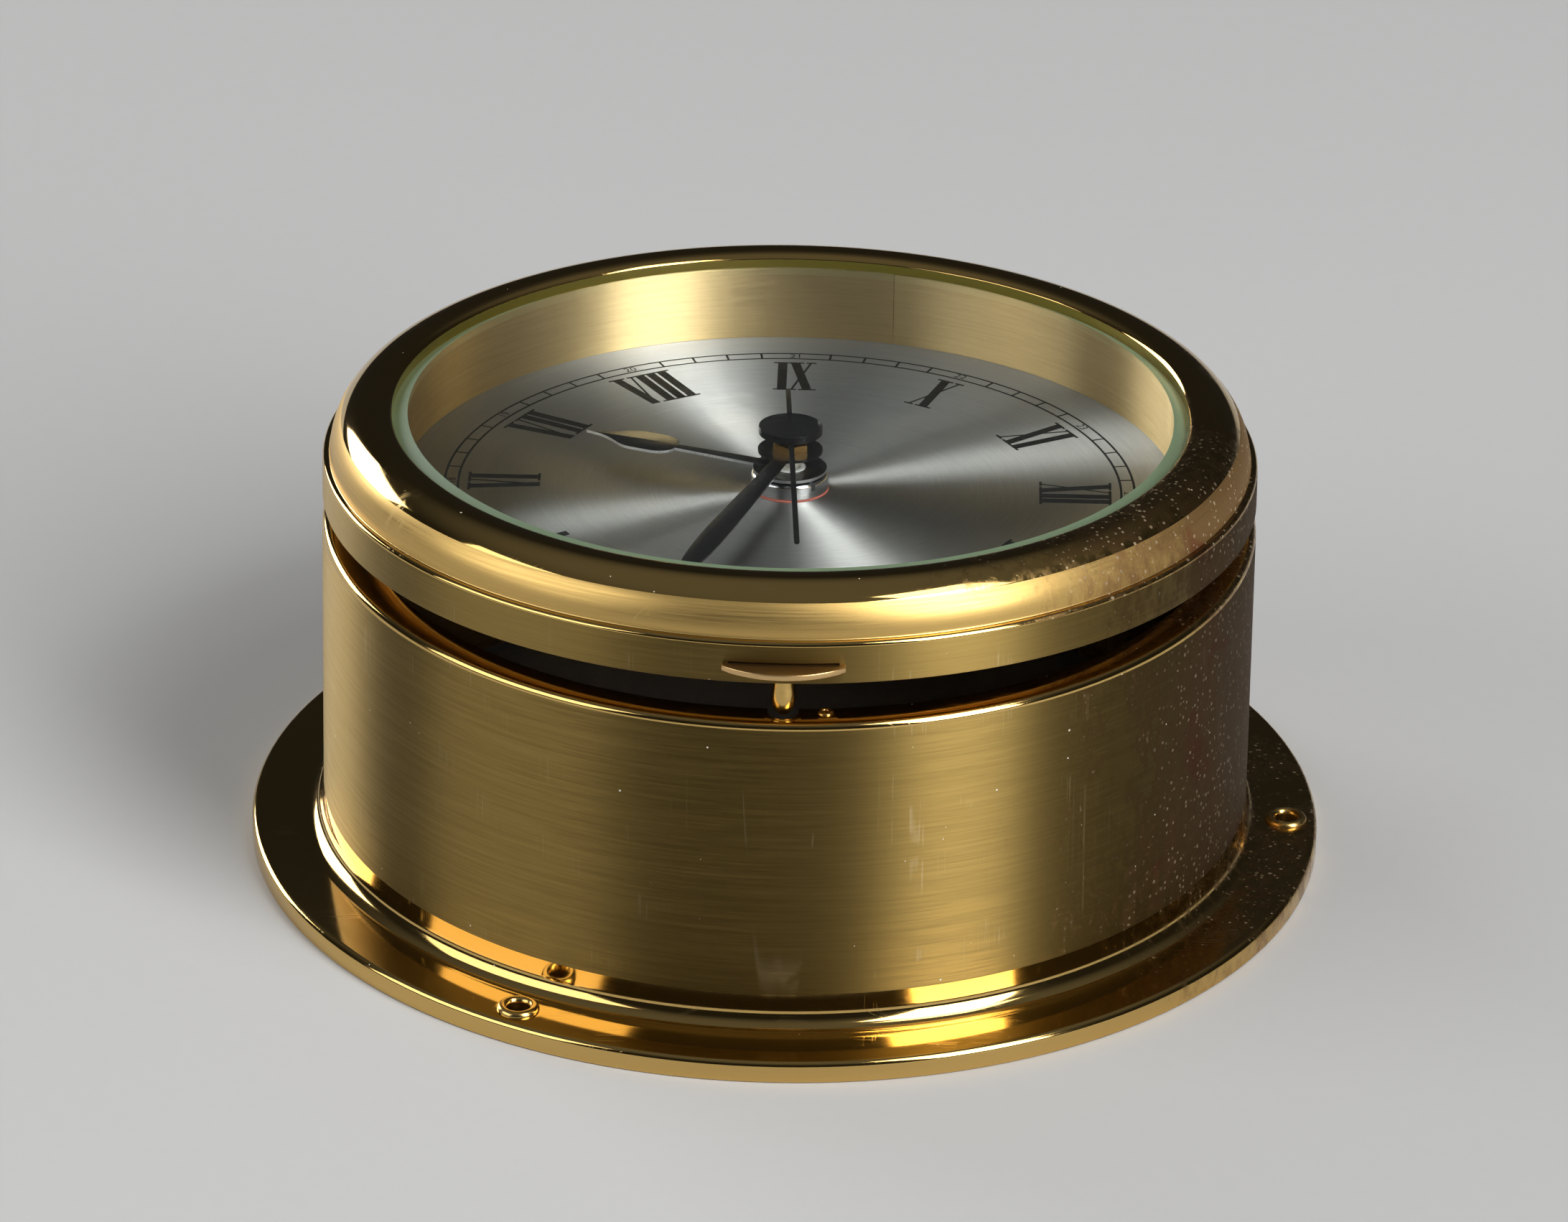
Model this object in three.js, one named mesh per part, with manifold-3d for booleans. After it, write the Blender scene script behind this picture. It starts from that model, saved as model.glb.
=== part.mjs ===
// Ship's clock in a brass bulkhead case, lying on its flange with the hinged front ajar.
//
// Millimetres, +Z up out of the dial, +Y towards XII, +X towards III and the catch, so the hinge is at -X.
// The origin is the centre of the flange's rim, in the plane that rests on the table or bulkhead.
//
// The spun case stands on the flange. The bezel, glass, dial, hands and quartz movement hang together on
// one hinge and swing out as a unit, so that the battery and the setting knob can be reached.
// Everything on that unit is drawn as it lies with the bezel shut, then turned open by `ajarAngle`.

import * as THREE from 'three';
import { mergeVertices } from 'three/addons/utils/BufferGeometryUtils.js';
import Module from 'manifold-3d';

const wasm = await Module();
wasm.setup();

// Case, spun from one brass sheet
const flangeWidth = 12.1;
const flangeHeight = 3.8;
const flangeCorner = 1.1;
const flangeFillet = 3.2;
const bodyRadius = 77.7;
const caseHeight = 58.8;
const caseSheet = 1.6;
const rimCorner = 1.2;
const rimSheet = 1.2;
const rimWidth = 5.8;

// Screw eyelets through the flange
const eyeletInset = 5.2;
const eyeletAngles = { eyelet_xii: 88.6, eyelet_iiii: -30, eyelet_viii: 210 };
const eyeletRadius = 3.5;
const eyeletBore = 1.85;
const eyeletBarrel = 2.45;
const eyeletRoll = 0.9;
const eyeletFlare = 3.1;

// Clearances
const fitGap = 0.3;
const shutGap = 0.7;

// Hinge at nine o'clock
const ajarAngle = 2.35;
const hingeLength = 24;
const leafBlank = 6;
const hingeMiddleKnuckle = 8;
const knuckleRadius = 2.2;
const hingePinRadius = 0.9;
const hingePinHead = 1.5;
const leafThickness = 1.6;
const caseLeafHeight = 7;
const bezelLeafHeight = 4.4;
const rivetInset = 5;
const rivetSpacing = hingeLength - 2 * rivetInset;
const rivetShank = 0.8;
const rivetHead = 1.5;
const rivetHeadHeight = 0.8;

// Bezel, spun from one brass sheet
const bezelStepIn = 0.1;
const bezelSheet = 1.2;
const skirtHeight = 7.1;
const shoulderRadius = 0.7;
const domeInset = 1.2;
const domeWidth = 6.9;
const domeHeight = 8.1;
const bezelWidth = 11.5;
const lipDrop = 0.5;
const lipRound = 0.4;
const glassSeatDepth = 1.6;

// Glass
const glassSeatWidth = 1.1;
const glassThickness = 2.4;
const glassBevelWidth = 2.6;
const glassBevelRise = 0.6;

// Dial, its carrier pan and the brass inner ring
const dialUnderLip = 0.3;
const dialThickness = 0.5;
const dialHole = 4.2;
const panSheet = 0.8;
const panDishDepth = 2.5;
const innerRingInset = 1.5;
const innerRingSheet = 1;
const innerRingSeamAngle = 164.8;
const innerRingSeam = 0.2;
const postInset = 6.1;
const postAngles = [45, 135, 225, 315];
const postRadius = 2.2;
const postTopBelowCrest = 2.2;
const screwShank = 0.9;
const screwHead = 1.9;
const screwLength = 5;

// Catch at three o'clock
const studInset = 4.8;
const studLength = 7.4;
const studNeck = 1.75;
const studBelly = 2;
const studTip = 1;
const studBellyAboveTip = 2.8;
const notchHalfWidth = 2.5;
const notchSlack = 0.4;
const catchRivetInset = 4.3;
const catchRivetAngle = 5.3;
const catchRivetHead = 1.35;
const catchRivetBarrel = 1;
const catchRivetBore = 0.5;
const catchSpringSheet = 0.5;
const catchSpringOverhang = 0.5;
const catchSpringGap = 0.2;
const catchSpringStart = -3.5;
const catchSpringEnd = 7.5;
const tabLength = 19.8;
const tabReach = 4.1;
const tabEndReach = 1.2;
const tabThickness = 1;
const tabAboveSkirt = 2.3;
const tabTongue = 17.2;
const tabRoot = 4;

// Hands and the stack they sit on, heights above the dial
const washerRadius = 6.5;
const washerThickness = 0.5;
const centreNutRadius = 6.45;
const centreNutTop = 3;
const bushRadius = 3.9;
const bushBore = 3;
const bushTop = 2.8;
const hourHandLevel = 3.3;
const hourHubRadius = 6.15;
const hourHandLength = 36.9;
const hourLeafStart = 20.5;
const hourLeafWidth = 7;
const hourLeafWidest = 24.3;
const hourLeafShoulder = 26.3;
const hourArmWidth = 2.5;
const hourNeckWidth = 1.6;
const minuteHandLevel = 6.6;
const minuteHubRadius = 5.4;
const minuteHandLength = 57;
const minuteLeafWidth = 4.25;
const minuteLeafWidest = 35;
const minuteRootWidth = 2.5;
const taperSteps = 6;
const handSheet = 0.5;
const minuteNutAcross = 5.6;
const minuteNutHeight = 1.4;
const secondHandLevel = 9.9;
const secondDiscRadius = 5.3;
const secondDiscHeight = 1.3;
const secondDiscRecess = 0.35;
const secondHandLength = 45.8;
const secondTailLength = 17.2;
const secondHandWidth = 0.9;
const secondHandSheet = 0.4;
const hourTubeRadius = 2.55;
const hourTubeBore = 1.9;
const minuteTubeRadius = 1.5;
const minuteCollarRadius = 2.1;
const minuteThreadRadius = 1.2;
const minuteTubeBore = 0.85;
const secondArborRadius = 0.45;

// Where the hands stand, in degrees clockwise from XII
const hourHandAngle = 202.1;
const minuteHandAngle = 108.4;
const secondHandAngle = 88;

// Quartz movement, levels above the inside of its back cover
const movementDepth = 15.5;
const movementWall = 1.2;
const movementFront = 1.5;
const movementCorner = 4;
const coverThickness = 1.2;
const bayWidth = 15;
const bayWall = 1.2;
const trainReach = 10.6;
const movementHeight = 2 * (movementWall + bayWidth + bayWall + trainReach);
const bossInset = 4;
const bossRadius = 2.4;
const lowBoss = 8;
const coverScrewRadius = 1;
const coverScrewHead = 2.1;
const coverScrewReach = 9;
const coverScrewTop = 6;
const batteryRadius = 7.1;
const batteryLength = 49.3;
const movementSpare = 6.7;
const movementWidth = batteryLength + movementSpare;
const batteryNub = 2.7;
const batteryNubHeight = 1.2;
const contactWidth = 9;
const contactSheet = 0.8;
const boardThickness = 1;
const boardLevel = 10.25;
const boardMargin = 2.5;
const boardEdge = 9;
const boardInset = 8;
const boardSlack = 0.4;
const coilRadius = 3.4;
const coilFlangeRadius = 3.8;
const coilFlange = 1;
const coilLength = 22;
const coilBore = 1.5;
const coilInset = 6.8;
const coilLevel = 6.15;
const coreRadius = 1.2;
const coreOverhang = 1.5;
const stickOut = 0.45;
const meshGap = 0.15;
const wheelSheet = 0.6;
const secondToThird = 7.5;
const thirdToCentre = 8;
const trainSpacing = 5.6;
const rotorToIntermediate = 5;
const intermediateToSecond = 6;
const rotorSpacing = 4.8;
const intermediateSpacing = 5.25;
const minuteToMotion = 3;
const motionToHour = 4;
const motionSpacing = 8;
const knobWheelRadius = 3;
const knobRadius = 5;
const knobHeight = 2.8;
const rotorMagnetRadius = 2.6;
const rotorMagnetHeight = 1.6;
const arborRadius = 0.5;

// Facets
const largeRound = 48;
const mediumRound = 24;
const smallRound = 16;
const wheelRound = 12;
const arcSteps = 3;

// Heights that follow from the sizes above
const flangeRadius = bodyRadius + flangeWidth;
const caseMouthRadius = bodyRadius - rimWidth;
const wallInside = bodyRadius - caseSheet;
const eyeletCircle = flangeRadius - eyeletInset;
const bezelRadius = bodyRadius - bezelStepIn;
const lipRadius = bezelRadius - bezelWidth;
const glassRadius = lipRadius + glassSeatWidth;
const dialRadius = lipRadius + dialUnderLip;
const panRadius = bezelRadius - bezelSheet - fitGap;
const innerRingRadius = lipRadius - innerRingInset;
const postCircle = bezelRadius - postInset;
const studCircle = bodyRadius - studInset;
const notchEndRadius = studCircle + notchSlack;
const catchRivetCircle = bodyRadius - catchRivetInset;
const catchSpringInner = caseMouthRadius - catchSpringOverhang;
const catchSpringOuter = wallInside - catchSpringGap;
const skirtBottom = caseHeight + shutGap;
const shoulderTop = skirtBottom + skirtHeight;
const domeCentreRadius = bezelRadius - domeInset - domeWidth;
const crestTop = shoulderTop + domeHeight;
const lipTop = crestTop - lipDrop;
const glassSeat = crestTop - glassSeatDepth;
const glassTop = glassSeat + glassBevelRise;
const glassBottom = glassTop - glassThickness;
const panFlangeBottom = skirtBottom + 0.2;
const panFlangeTop = panFlangeBottom + panSheet;
const dialBottom = panFlangeTop - panDishDepth;
const panFloorBottom = dialBottom - panSheet;
const dialTop = dialBottom + dialThickness;
const movementBack = panFloorBottom - movementDepth;
const movementInside = panFloorBottom - movementFront;
const hingeX = -(bodyRadius + fitGap + 0.2 + knuckleRadius);
const hingeZ = caseHeight + shutGap / 2;
const rimBottom = caseHeight - rimSheet;

// Materials
const brass = (name, color, roughness) =>
  new THREE.MeshStandardMaterial({ name, color, roughness, metalness: 1 });
const materials = {
  polishedBrass: brass('polished_brass', 0xc9a14a, 0.18),
  satinBrass: brass('satin_brass', 0xb8964c, 0.38),
  innerBrass: brass('inner_brass', 0xd2b36c, 0.4),
  dullBrass: brass('dull_brass', 0x8c7440, 0.5),
  chrome: brass('chrome', 0xd8d8da, 0.12),
  steel: brass('spring_steel', 0x8d9094, 0.35),
  copper: brass('copper_winding', 0xb06a3a, 0.45),
  silvered: brass('silvered_dial', 0xb9b9b6, 0.34),
  glass: new THREE.MeshStandardMaterial({ name: 'glass', color: 0xdfeee6, roughness: 0.05, transparent: true, opacity: 0.35 }),
  black: new THREE.MeshStandardMaterial({ name: 'black_lacquer', color: 0x0b0b0c, roughness: 0.2 }),
  fibre: new THREE.MeshStandardMaterial({ name: 'red_fibre', color: 0xa8402e, roughness: 0.8 }),
  plastic: new THREE.MeshStandardMaterial({ name: 'black_plastic', color: 0x161617, roughness: 0.55 }),
  whitePlastic: new THREE.MeshStandardMaterial({ name: 'white_plastic', color: 0xdcdcd6, roughness: 0.5 }),
  board: new THREE.MeshStandardMaterial({ name: 'circuit_board', color: 0x1f5a35, roughness: 0.5 }),
  cell: new THREE.MeshStandardMaterial({ name: 'battery_wrap', color: 0x303338, roughness: 0.4, metalness: 0.3 }),
};

// Geometry helpers

const radians = THREE.MathUtils.degToRad;
const polar = (radius, degrees) => [radius * Math.cos(radians(degrees)), radius * Math.sin(radians(degrees))];

function ellipseArc(centreX, centreY, radiusX, radiusY, from, to, steps = arcSteps) {
  return Array.from({ length: steps + 1 }, (_, i) => {
    const angle = radians(from + (to - from) * i / steps);
    return [centreX + radiusX * Math.cos(angle), centreY + radiusY * Math.sin(angle)];
  });
}

const arc = (x, y, radius, from, to, steps) => ellipseArc(x, y, radius, radius, from, to, steps);

// A solid of revolution about Z from [radius, height] points; one that leaves the axis closes on itself
function turned(profile, segments) {
  const points = profile.map(([radius, height]) => new THREE.Vector2(radius, height));
  if (THREE.ShapeUtils.isClockWise(points)) points.reverse();
  const onAxis = points.filter((point) => point.x === 0).length > 0;
  if (onAxis) {
    while (points[0].x !== 0 || points[points.length - 1].x !== 0) points.push(points.shift());
  } else {
    points.push(points[0].clone());
  }
  return new THREE.LatheGeometry(points, segments).rotateX(Math.PI / 2);
}

const ring = (inner, outer, bottom, top, segments) =>
  turned([[inner, bottom], [outer, bottom], [outer, top], [inner, top]], segments);
const rod = (radius, bottom, top, segments = smallRound) =>
  turned([[0, bottom], [radius, bottom], [radius, top], [0, top]], segments);

function block([x0, x1], [y0, y1], [z0, z1]) {
  return new THREE.BoxGeometry(x1 - x0, y1 - y0, z1 - z0).translate((x0 + x1) / 2, (y0 + y1) / 2, (z0 + z1) / 2);
}

const outline = (points) => new THREE.Shape(points.map(([x, y]) => new THREE.Vector2(x, y)));
const plate = (shape, bottom, height) =>
  new THREE.ExtrudeGeometry(shape, { depth: height, bevelEnabled: false, curveSegments: 10 }).translate(0, 0, bottom);

function roundedRectangle(width, height, corner) {
  const x = width / 2 - corner;
  const y = height / 2 - corner;
  return outline([
    ...arc(x, y, corner, 0, 90, 3),
    ...arc(-x, y, corner, 90, 180, 3),
    ...arc(-x, -y, corner, 180, 270, 3),
    ...arc(x, -y, corner, 270, 360, 3),
  ]);
}

// Joining and cutting

function solid(geometry) {
  const bare = new THREE.BufferGeometry();
  bare.setAttribute('position', geometry.getAttribute('position'));
  if (geometry.index) bare.setIndex(geometry.index);
  const merged = mergeVertices(bare, 1e-4);
  const index = merged.index.array;
  const triangles = [];
  for (let i = 0; i < index.length; i += 3) {
    const [a, b, c] = [index[i], index[i + 1], index[i + 2]];
    if (a !== b && b !== c && c !== a) triangles.push(a, b, c);
  }
  return new wasm.Manifold(new wasm.Mesh({
    numProp: 3,
    vertProperties: new Float32Array(merged.getAttribute('position').array),
    triVerts: new Uint32Array(triangles),
  }));
}

function geometryOf(manifold) {
  const mesh = manifold.getMesh();
  const geometry = new THREE.BufferGeometry();
  geometry.setAttribute('position', new THREE.BufferAttribute(mesh.vertProperties, 3));
  geometry.setIndex(new THREE.BufferAttribute(mesh.triVerts, 1));
  return geometry;
}

const join = (...geometries) => geometryOf(geometries.map(solid).reduce((whole, next) => whole.add(next)));
const cut = (geometry, ...tools) =>
  geometryOf(tools.map(solid).reduce((whole, tool) => whole.subtract(tool), solid(geometry)));

// Assembly: the case stands still, the front swings about the hinge

const clock = new THREE.Group();
clock.name = 'ships_clock';
const swing = new THREE.Group();
swing.position.set(hingeX, 0, hingeZ);
swing.rotation.y = -radians(ajarAngle);
const front = new THREE.Group();
front.position.set(-hingeX, 0, -hingeZ);
swing.add(front);
clock.add(swing);

function piece(group, name, geometry, material) {
  const mesh = new THREE.Mesh(geometry, material);
  mesh.name = name;
  group.add(mesh);
  return mesh;
}

// A group on the dial's axis, turned clockwise as a hand is
function handGroup(clockwise) {
  const group = new THREE.Group();
  group.rotation.z = -radians(clockwise);
  front.add(group);
  return group;
}

// Case

function caseBody() {
  const innerFillet = flangeFillet + caseSheet;
  const filletBottom = flangeHeight;
  const profile = [
    [flangeRadius - caseSheet, 0],
    [flangeRadius, 0],
    ...arc(flangeRadius - flangeCorner, flangeHeight - flangeCorner, flangeCorner, 0, 90, 2),
    ...arc(bodyRadius + flangeFillet, filletBottom + flangeFillet, flangeFillet, 270, 180, 4),
    ...arc(bodyRadius - rimCorner, caseHeight - rimCorner, rimCorner, 0, 90, 2),
    [caseMouthRadius, caseHeight],
    [caseMouthRadius, rimBottom],
    [wallInside, rimBottom],
    ...arc(wallInside + innerFillet, filletBottom + flangeFillet, innerFillet, 180, 270, 3),
    [flangeRadius - caseSheet, flangeHeight - caseSheet],
  ];
  const holes = Object.values(eyeletAngles).map((angle) => {
    const [x, y] = polar(eyeletCircle, angle);
    return rod(eyeletBarrel + fitGap, -1, flangeHeight + 1).translate(x, y, 0);
  });
  const [rivetX, rivetY] = polar(catchRivetCircle, catchRivetAngle);
  const notch = studNotch(notchHalfWidth, rimBottom - 1, caseHeight + 1);
  const rivetHole = rod(catchRivetBarrel + fitGap, rimBottom - 1, caseHeight + 1).translate(rivetX, rivetY, 0);
  const hingeHoles = rivetPositions(caseRivetHeight).map((place) => crossHole(place));
  return cut(turned(profile, largeRound), ...holes, notch, rivetHole, ...hingeHoles);
}

// The round-ended notch, open towards the middle, that the stud drops into
function studNotch(halfWidth, bottom, top) {
  return join(
    rod(halfWidth, bottom, top).translate(notchEndRadius, 0, 0),
    block([catchSpringInner - 3, notchEndRadius], [-halfWidth, halfWidth], [bottom, top]),
  );
}

function eyelet(angle) {
  const rollCentre = (eyeletRadius + eyeletBore) / 2;
  const rollHalfWidth = (eyeletRadius - eyeletBore) / 2;
  const under = flangeHeight - caseSheet;
  const profile = [
    [eyeletBarrel, under],
    [eyeletBarrel, flangeHeight],
    ...ellipseArc(rollCentre, flangeHeight, rollHalfWidth, eyeletRoll, 0, 180, 4),
    [eyeletBore, under - caseSheet / 2],
    [eyeletFlare, under - caseSheet / 2],
    [eyeletFlare, under],
  ];
  const [x, y] = polar(eyeletCircle, angle);
  return turned(profile, smallRound).translate(x, y, 0);
}

// Hinge

const leafFace = -(bodyRadius + fitGap + leafThickness);
const leafClearance = knuckleRadius + 0.25;
const caseRivetHeight = hingeZ - leafClearance - caseLeafHeight / 2;
const bezelRivetHeight = hingeZ + leafClearance + bezelLeafHeight / 2;

function rivetPositions(height) {
  return [-1, 1].map((side) => [side * rivetSpacing / 2, height]);
}

// A hole along X through the wall at the hinge side
function crossHole([y, z]) {
  return rod(rivetShank + fitGap, 0, 1 - leafFace - caseMouthRadius).rotateY(Math.PI / 2).translate(leafFace - 1, y, z);
}

function alongY(geometry, x, y, z) {
  return geometry.rotateX(-Math.PI / 2).translate(x, y, z);
}

function hingeLeaf(side, seatRadius, leafHeight, knuckles) {
  const near = hingeZ + side * leafClearance;
  const far = near + side * leafHeight;
  const span = [Math.min(near, far), Math.max(near, far)];
  const webReach = near + side * 0.5;
  const parts = [block([leafFace, leafFace + leafBlank], [-hingeLength / 2, hingeLength / 2], span)];
  for (const [from, to] of knuckles) {
    parts.push(alongY(rod(knuckleRadius, 0, to - from), hingeX, from, hingeZ));
    const webSpan = [Math.min(hingeZ, webReach), Math.max(hingeZ, webReach)];
    parts.push(block([hingeX - 0.8, hingeX + knuckleRadius + 0.05], [from, to], webSpan));
  }
  const seat = rod(seatRadius + fitGap, 0, crestTop, largeRound);
  const bore = alongY(rod(hingePinRadius + fitGap, -1, hingeLength + 1), hingeX, -hingeLength / 2, hingeZ);
  const rivetHeight = side < 0 ? caseRivetHeight : bezelRivetHeight;
  return cut(join(...parts), seat, bore, ...rivetPositions(rivetHeight).map(crossHole));
}

function hingeRivet([y, z], wallRadius) {
  const wallFace = Math.sqrt(wallRadius ** 2 - (Math.abs(y) - rivetHead) ** 2);
  const tail = -leafFace - wallFace + 0.05 + fitGap;
  const profile = [
    ...ellipseArc(0, 0, rivetHead, rivetHeadHeight, 270, 360, 2),
    [rivetShank, 0],
    [rivetShank, tail],
    [rivetHead, tail],
    [rivetHead, tail + rivetHeadHeight / 2],
    [0, tail + rivetHeadHeight / 2],
  ];
  return turned(profile.map(([radius, height]) => [Math.abs(radius) < 1e-9 ? 0 : radius, height]), smallRound)
    .rotateY(Math.PI / 2).translate(leafFace, y, z);
}

function hingePin() {
  const half = hingeLength / 2;
  const headHeight = rivetHeadHeight;
  const profile = [
    [0, -half - headHeight],
    [hingePinHead * 0.7, -half - headHeight],
    [hingePinHead, -half - headHeight * 0.4],
    [hingePinHead, -half],
    [hingePinRadius, -half],
    [hingePinRadius, half],
    [hingePinHead, half],
    [hingePinHead, half + headHeight * 0.4],
    [hingePinHead * 0.7, half + headHeight],
    [0, half + headHeight],
  ];
  return alongY(turned(profile, smallRound), hingeX, 0, hingeZ);
}

// Catch

function catchSpring() {
  const shape = outline([
    ...arc(0, 0, catchSpringOuter, catchSpringStart, catchSpringEnd, 6),
    ...arc(0, 0, catchSpringInner, catchSpringEnd, catchSpringStart, 6),
  ]);
  const bottom = rimBottom - catchSpringSheet;
  const [rivetX, rivetY] = polar(catchRivetCircle, catchRivetAngle);
  return cut(
    plate(shape, bottom, catchSpringSheet),
    studNotch(notchHalfWidth - 0.2, bottom - 1, rimBottom + 1),
    rod(catchRivetBarrel + fitGap, bottom - 1, rimBottom + 1).translate(rivetX, rivetY, 0),
  );
}

function catchRivet() {
  const under = rimBottom - catchSpringSheet;
  const headTop = caseHeight + 0.35;
  const profile = [
    [catchRivetBore, under - 0.4],
    [catchRivetHead, under - 0.4],
    [catchRivetHead, under],
    [catchRivetBarrel, under],
    [catchRivetBarrel, caseHeight],
    [catchRivetHead, caseHeight],
    [catchRivetHead - 0.15, headTop],
    [catchRivetBore + 0.15, headTop],
    [catchRivetBore, headTop - 0.15],
  ];
  const [x, y] = polar(catchRivetCircle, catchRivetAngle);
  return turned(profile, smallRound).translate(x, y, 0);
}

function snapStud() {
  const tip = panFlangeBottom - studLength;
  const belly = tip + studBellyAboveTip;
  const rivetThrough = screwShank + 0.3;
  const profile = [
    [0, tip],
    [studTip, tip],
    [(studTip + studBelly) / 2 + 0.1, tip + studBellyAboveTip * 0.3],
    [studBelly - 0.1, belly - studBellyAboveTip * 0.35],
    [studBelly, belly],
    [studNeck, belly + 2.2],
    [studNeck, panFlangeBottom],
    [rivetThrough, panFlangeBottom],
    [rivetThrough, panFlangeTop],
    [rivetThrough + 0.8, panFlangeTop],
    [rivetThrough + 0.5, panFlangeTop + 0.5],
    [0, panFlangeTop + 0.6],
  ];
  return turned(profile, smallRound).translate(studCircle, 0, 0);
}

function fingerTab() {
  const half = tabLength / 2;
  const endX = Math.sqrt(bezelRadius ** 2 - half ** 2) + tabEndReach;
  const middleX = bezelRadius + tabReach;
  const bottom = skirtBottom + tabAboveSkirt;
  const shape = new THREE.Shape();
  shape.moveTo(bezelRadius - tabRoot, -half);
  shape.lineTo(endX, -half);
  shape.bezierCurveTo(middleX - 0.7, -half * 0.45, middleX, -half * 0.2, middleX, 0);
  shape.bezierCurveTo(middleX, half * 0.2, middleX - 0.7, half * 0.45, endX, half);
  shape.lineTo(bezelRadius - tabRoot, half);
  const outside = cut(plate(shape, bottom, tabThickness), rod(bezelRadius + fitGap, 0, crestTop, largeRound));
  const tongueStart = bezelRadius - bezelSheet - 1;
  return join(
    outside,
    block([tongueStart, bezelRadius + 1], [-tabTongue / 2, tabTongue / 2], [bottom, bottom + tabThickness]),
  );
}

// Bezel, glass, inner ring, dial and carrier pan

function bezelRing() {
  const skirtInside = bezelRadius - bezelSheet;
  const domeBottom = shoulderTop;
  const profile = [
    [skirtInside, skirtBottom],
    [bezelRadius, skirtBottom],
    ...arc(bezelRadius - shoulderRadius, shoulderTop - shoulderRadius, shoulderRadius, 0, 90, 2),
    ...ellipseArc(domeCentreRadius, domeBottom, domeWidth, domeHeight, 2, 90, 7),
    [lipRadius + lipRound, lipTop],
    [lipRadius, lipTop - lipRound],
    [lipRadius, glassSeat],
    [glassRadius + fitGap, glassSeat],
    ...ellipseArc(domeCentreRadius, domeBottom, domeWidth - bezelSheet, domeHeight - bezelSheet, 90, 0, 4),
    [skirtInside, shoulderTop - bezelSheet],
  ];
  const posts = postAngles.map((angle) => {
    const [x, y] = polar(postCircle, angle);
    return rod(postRadius, panFlangeTop, crestTop - postTopBelowCrest).translate(x, y, 0);
  });
  const screwHoles = postAngles.map((angle) => {
    const [x, y] = polar(postCircle, angle);
    return rod(screwShank + fitGap, panFlangeTop - 1, panFlangeBottom + screwLength + 0.5).translate(x, y, 0);
  });
  const slotBottom = skirtBottom + tabAboveSkirt - fitGap;
  const slot = block(
    [bezelRadius - 4, bezelRadius + 2],
    [-tabTongue / 2 - fitGap, tabTongue / 2 + fitGap],
    [slotBottom, slotBottom + tabThickness + 2 * fitGap],
  );
  const hingeHoles = rivetPositions(bezelRivetHeight).map(crossHole);
  return cut(join(turned(profile, largeRound), ...posts), ...screwHoles, slot, ...hingeHoles);
}

function glassDisc() {
  return turned([
    [0, glassBottom],
    [glassRadius, glassBottom],
    [glassRadius, glassSeat],
    [lipRadius, glassSeat],
    [lipRadius - glassBevelWidth, glassTop],
    [0, glassTop],
  ], largeRound);
}

function innerRing() {
  const outer = innerRingRadius + innerRingSheet;
  const [x, y] = polar(innerRingRadius + innerRingSheet / 2, innerRingSeamAngle);
  const seam = block([-2, 2], [-innerRingSeam / 2, innerRingSeam / 2], [dialTop - 1, glassBottom + 1])
    .rotateZ(radians(innerRingSeamAngle)).translate(x, y, 0);
  return cut(ring(innerRingRadius, outer, dialTop, glassBottom, largeRound), seam);
}

function carrierPan() {
  const wallInner = dialRadius + 0.5;
  const wallOuter = wallInner + panSheet;
  const profile = [
    [dialHole, panFloorBottom],
    [wallOuter, panFloorBottom],
    [wallOuter, panFlangeBottom],
    [panRadius, panFlangeBottom],
    [panRadius, panFlangeTop],
    [wallInner, panFlangeTop],
    [wallInner, dialBottom],
    [dialHole, dialBottom],
  ];
  const countersinks = postAngles.map((angle) => {
    const [x, y] = polar(postCircle, angle);
    return countersunk(fitGap, panFlangeTop + 1).translate(x, y, 0);
  });
  const studRivetHole = rod(screwShank + 0.3 + fitGap, panFlangeBottom - 1, panFlangeTop + 1)
    .translate(studCircle, 0, 0);
  return cut(turned(profile, largeRound), ...countersinks, studRivetHole);
}

// The outline of a countersunk screw, or with extra room the hole for it
function countersunk(room, end) {
  const profile = [
    [0, panFlangeBottom - room],
    [screwHead + room, panFlangeBottom - room],
    [screwHead + room, panFlangeBottom],
    [screwShank + room, panFlangeTop],
    [screwShank + room, end],
    [0, end],
  ];
  return turned(room > 0 ? profile : profile.slice(2).concat([[0, panFlangeBottom]]), smallRound);
}

// Hands

const crossSection = (halfWidths) => outline([
  ...halfWidths.map(([along, half]) => [half, along]),
  ...halfWidths.slice().reverse().map(([along, half]) => [-half, along]),
]);

// The hour hand's spade: a round shoulder, a flat belly, and sides that sweep in to the point
function spadeHalfWidths(steps) {
  const neck = hourNeckWidth / 2;
  const full = hourLeafWidth / 2;
  const shoulder = ellipseArc(0, 0, 1, 1, 180, 90, steps / 2).map(([along, out]) => [
    hourLeafWidest + along * (hourLeafWidest - hourLeafStart),
    neck + out * (full - neck),
  ]);
  const fall = (t) => 1 / (1 + (t / 0.52) ** 3.5);
  const sweep = Array.from({ length: steps }, (_, i) => {
    const t = i / steps;
    const width = full * (fall(t) - fall(1)) / (1 - fall(1));
    return [hourLeafShoulder + (hourHandLength - hourLeafShoulder) * t, width];
  });
  return [...shoulder, ...sweep, [hourHandLength, 0.05]];
}

function hourHand() {
  const level = dialTop + hourHandLevel;
  const blade = crossSection([[0, hourArmWidth / 2], ...spadeHalfWidths(8)]);
  return cut(
    join(plate(blade, level, handSheet), rod(hourHubRadius, level, level + handSheet, mediumRound)),
    rod(hourTubeRadius + fitGap, level - 1, level + handSheet + 1),
  );
}

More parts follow.
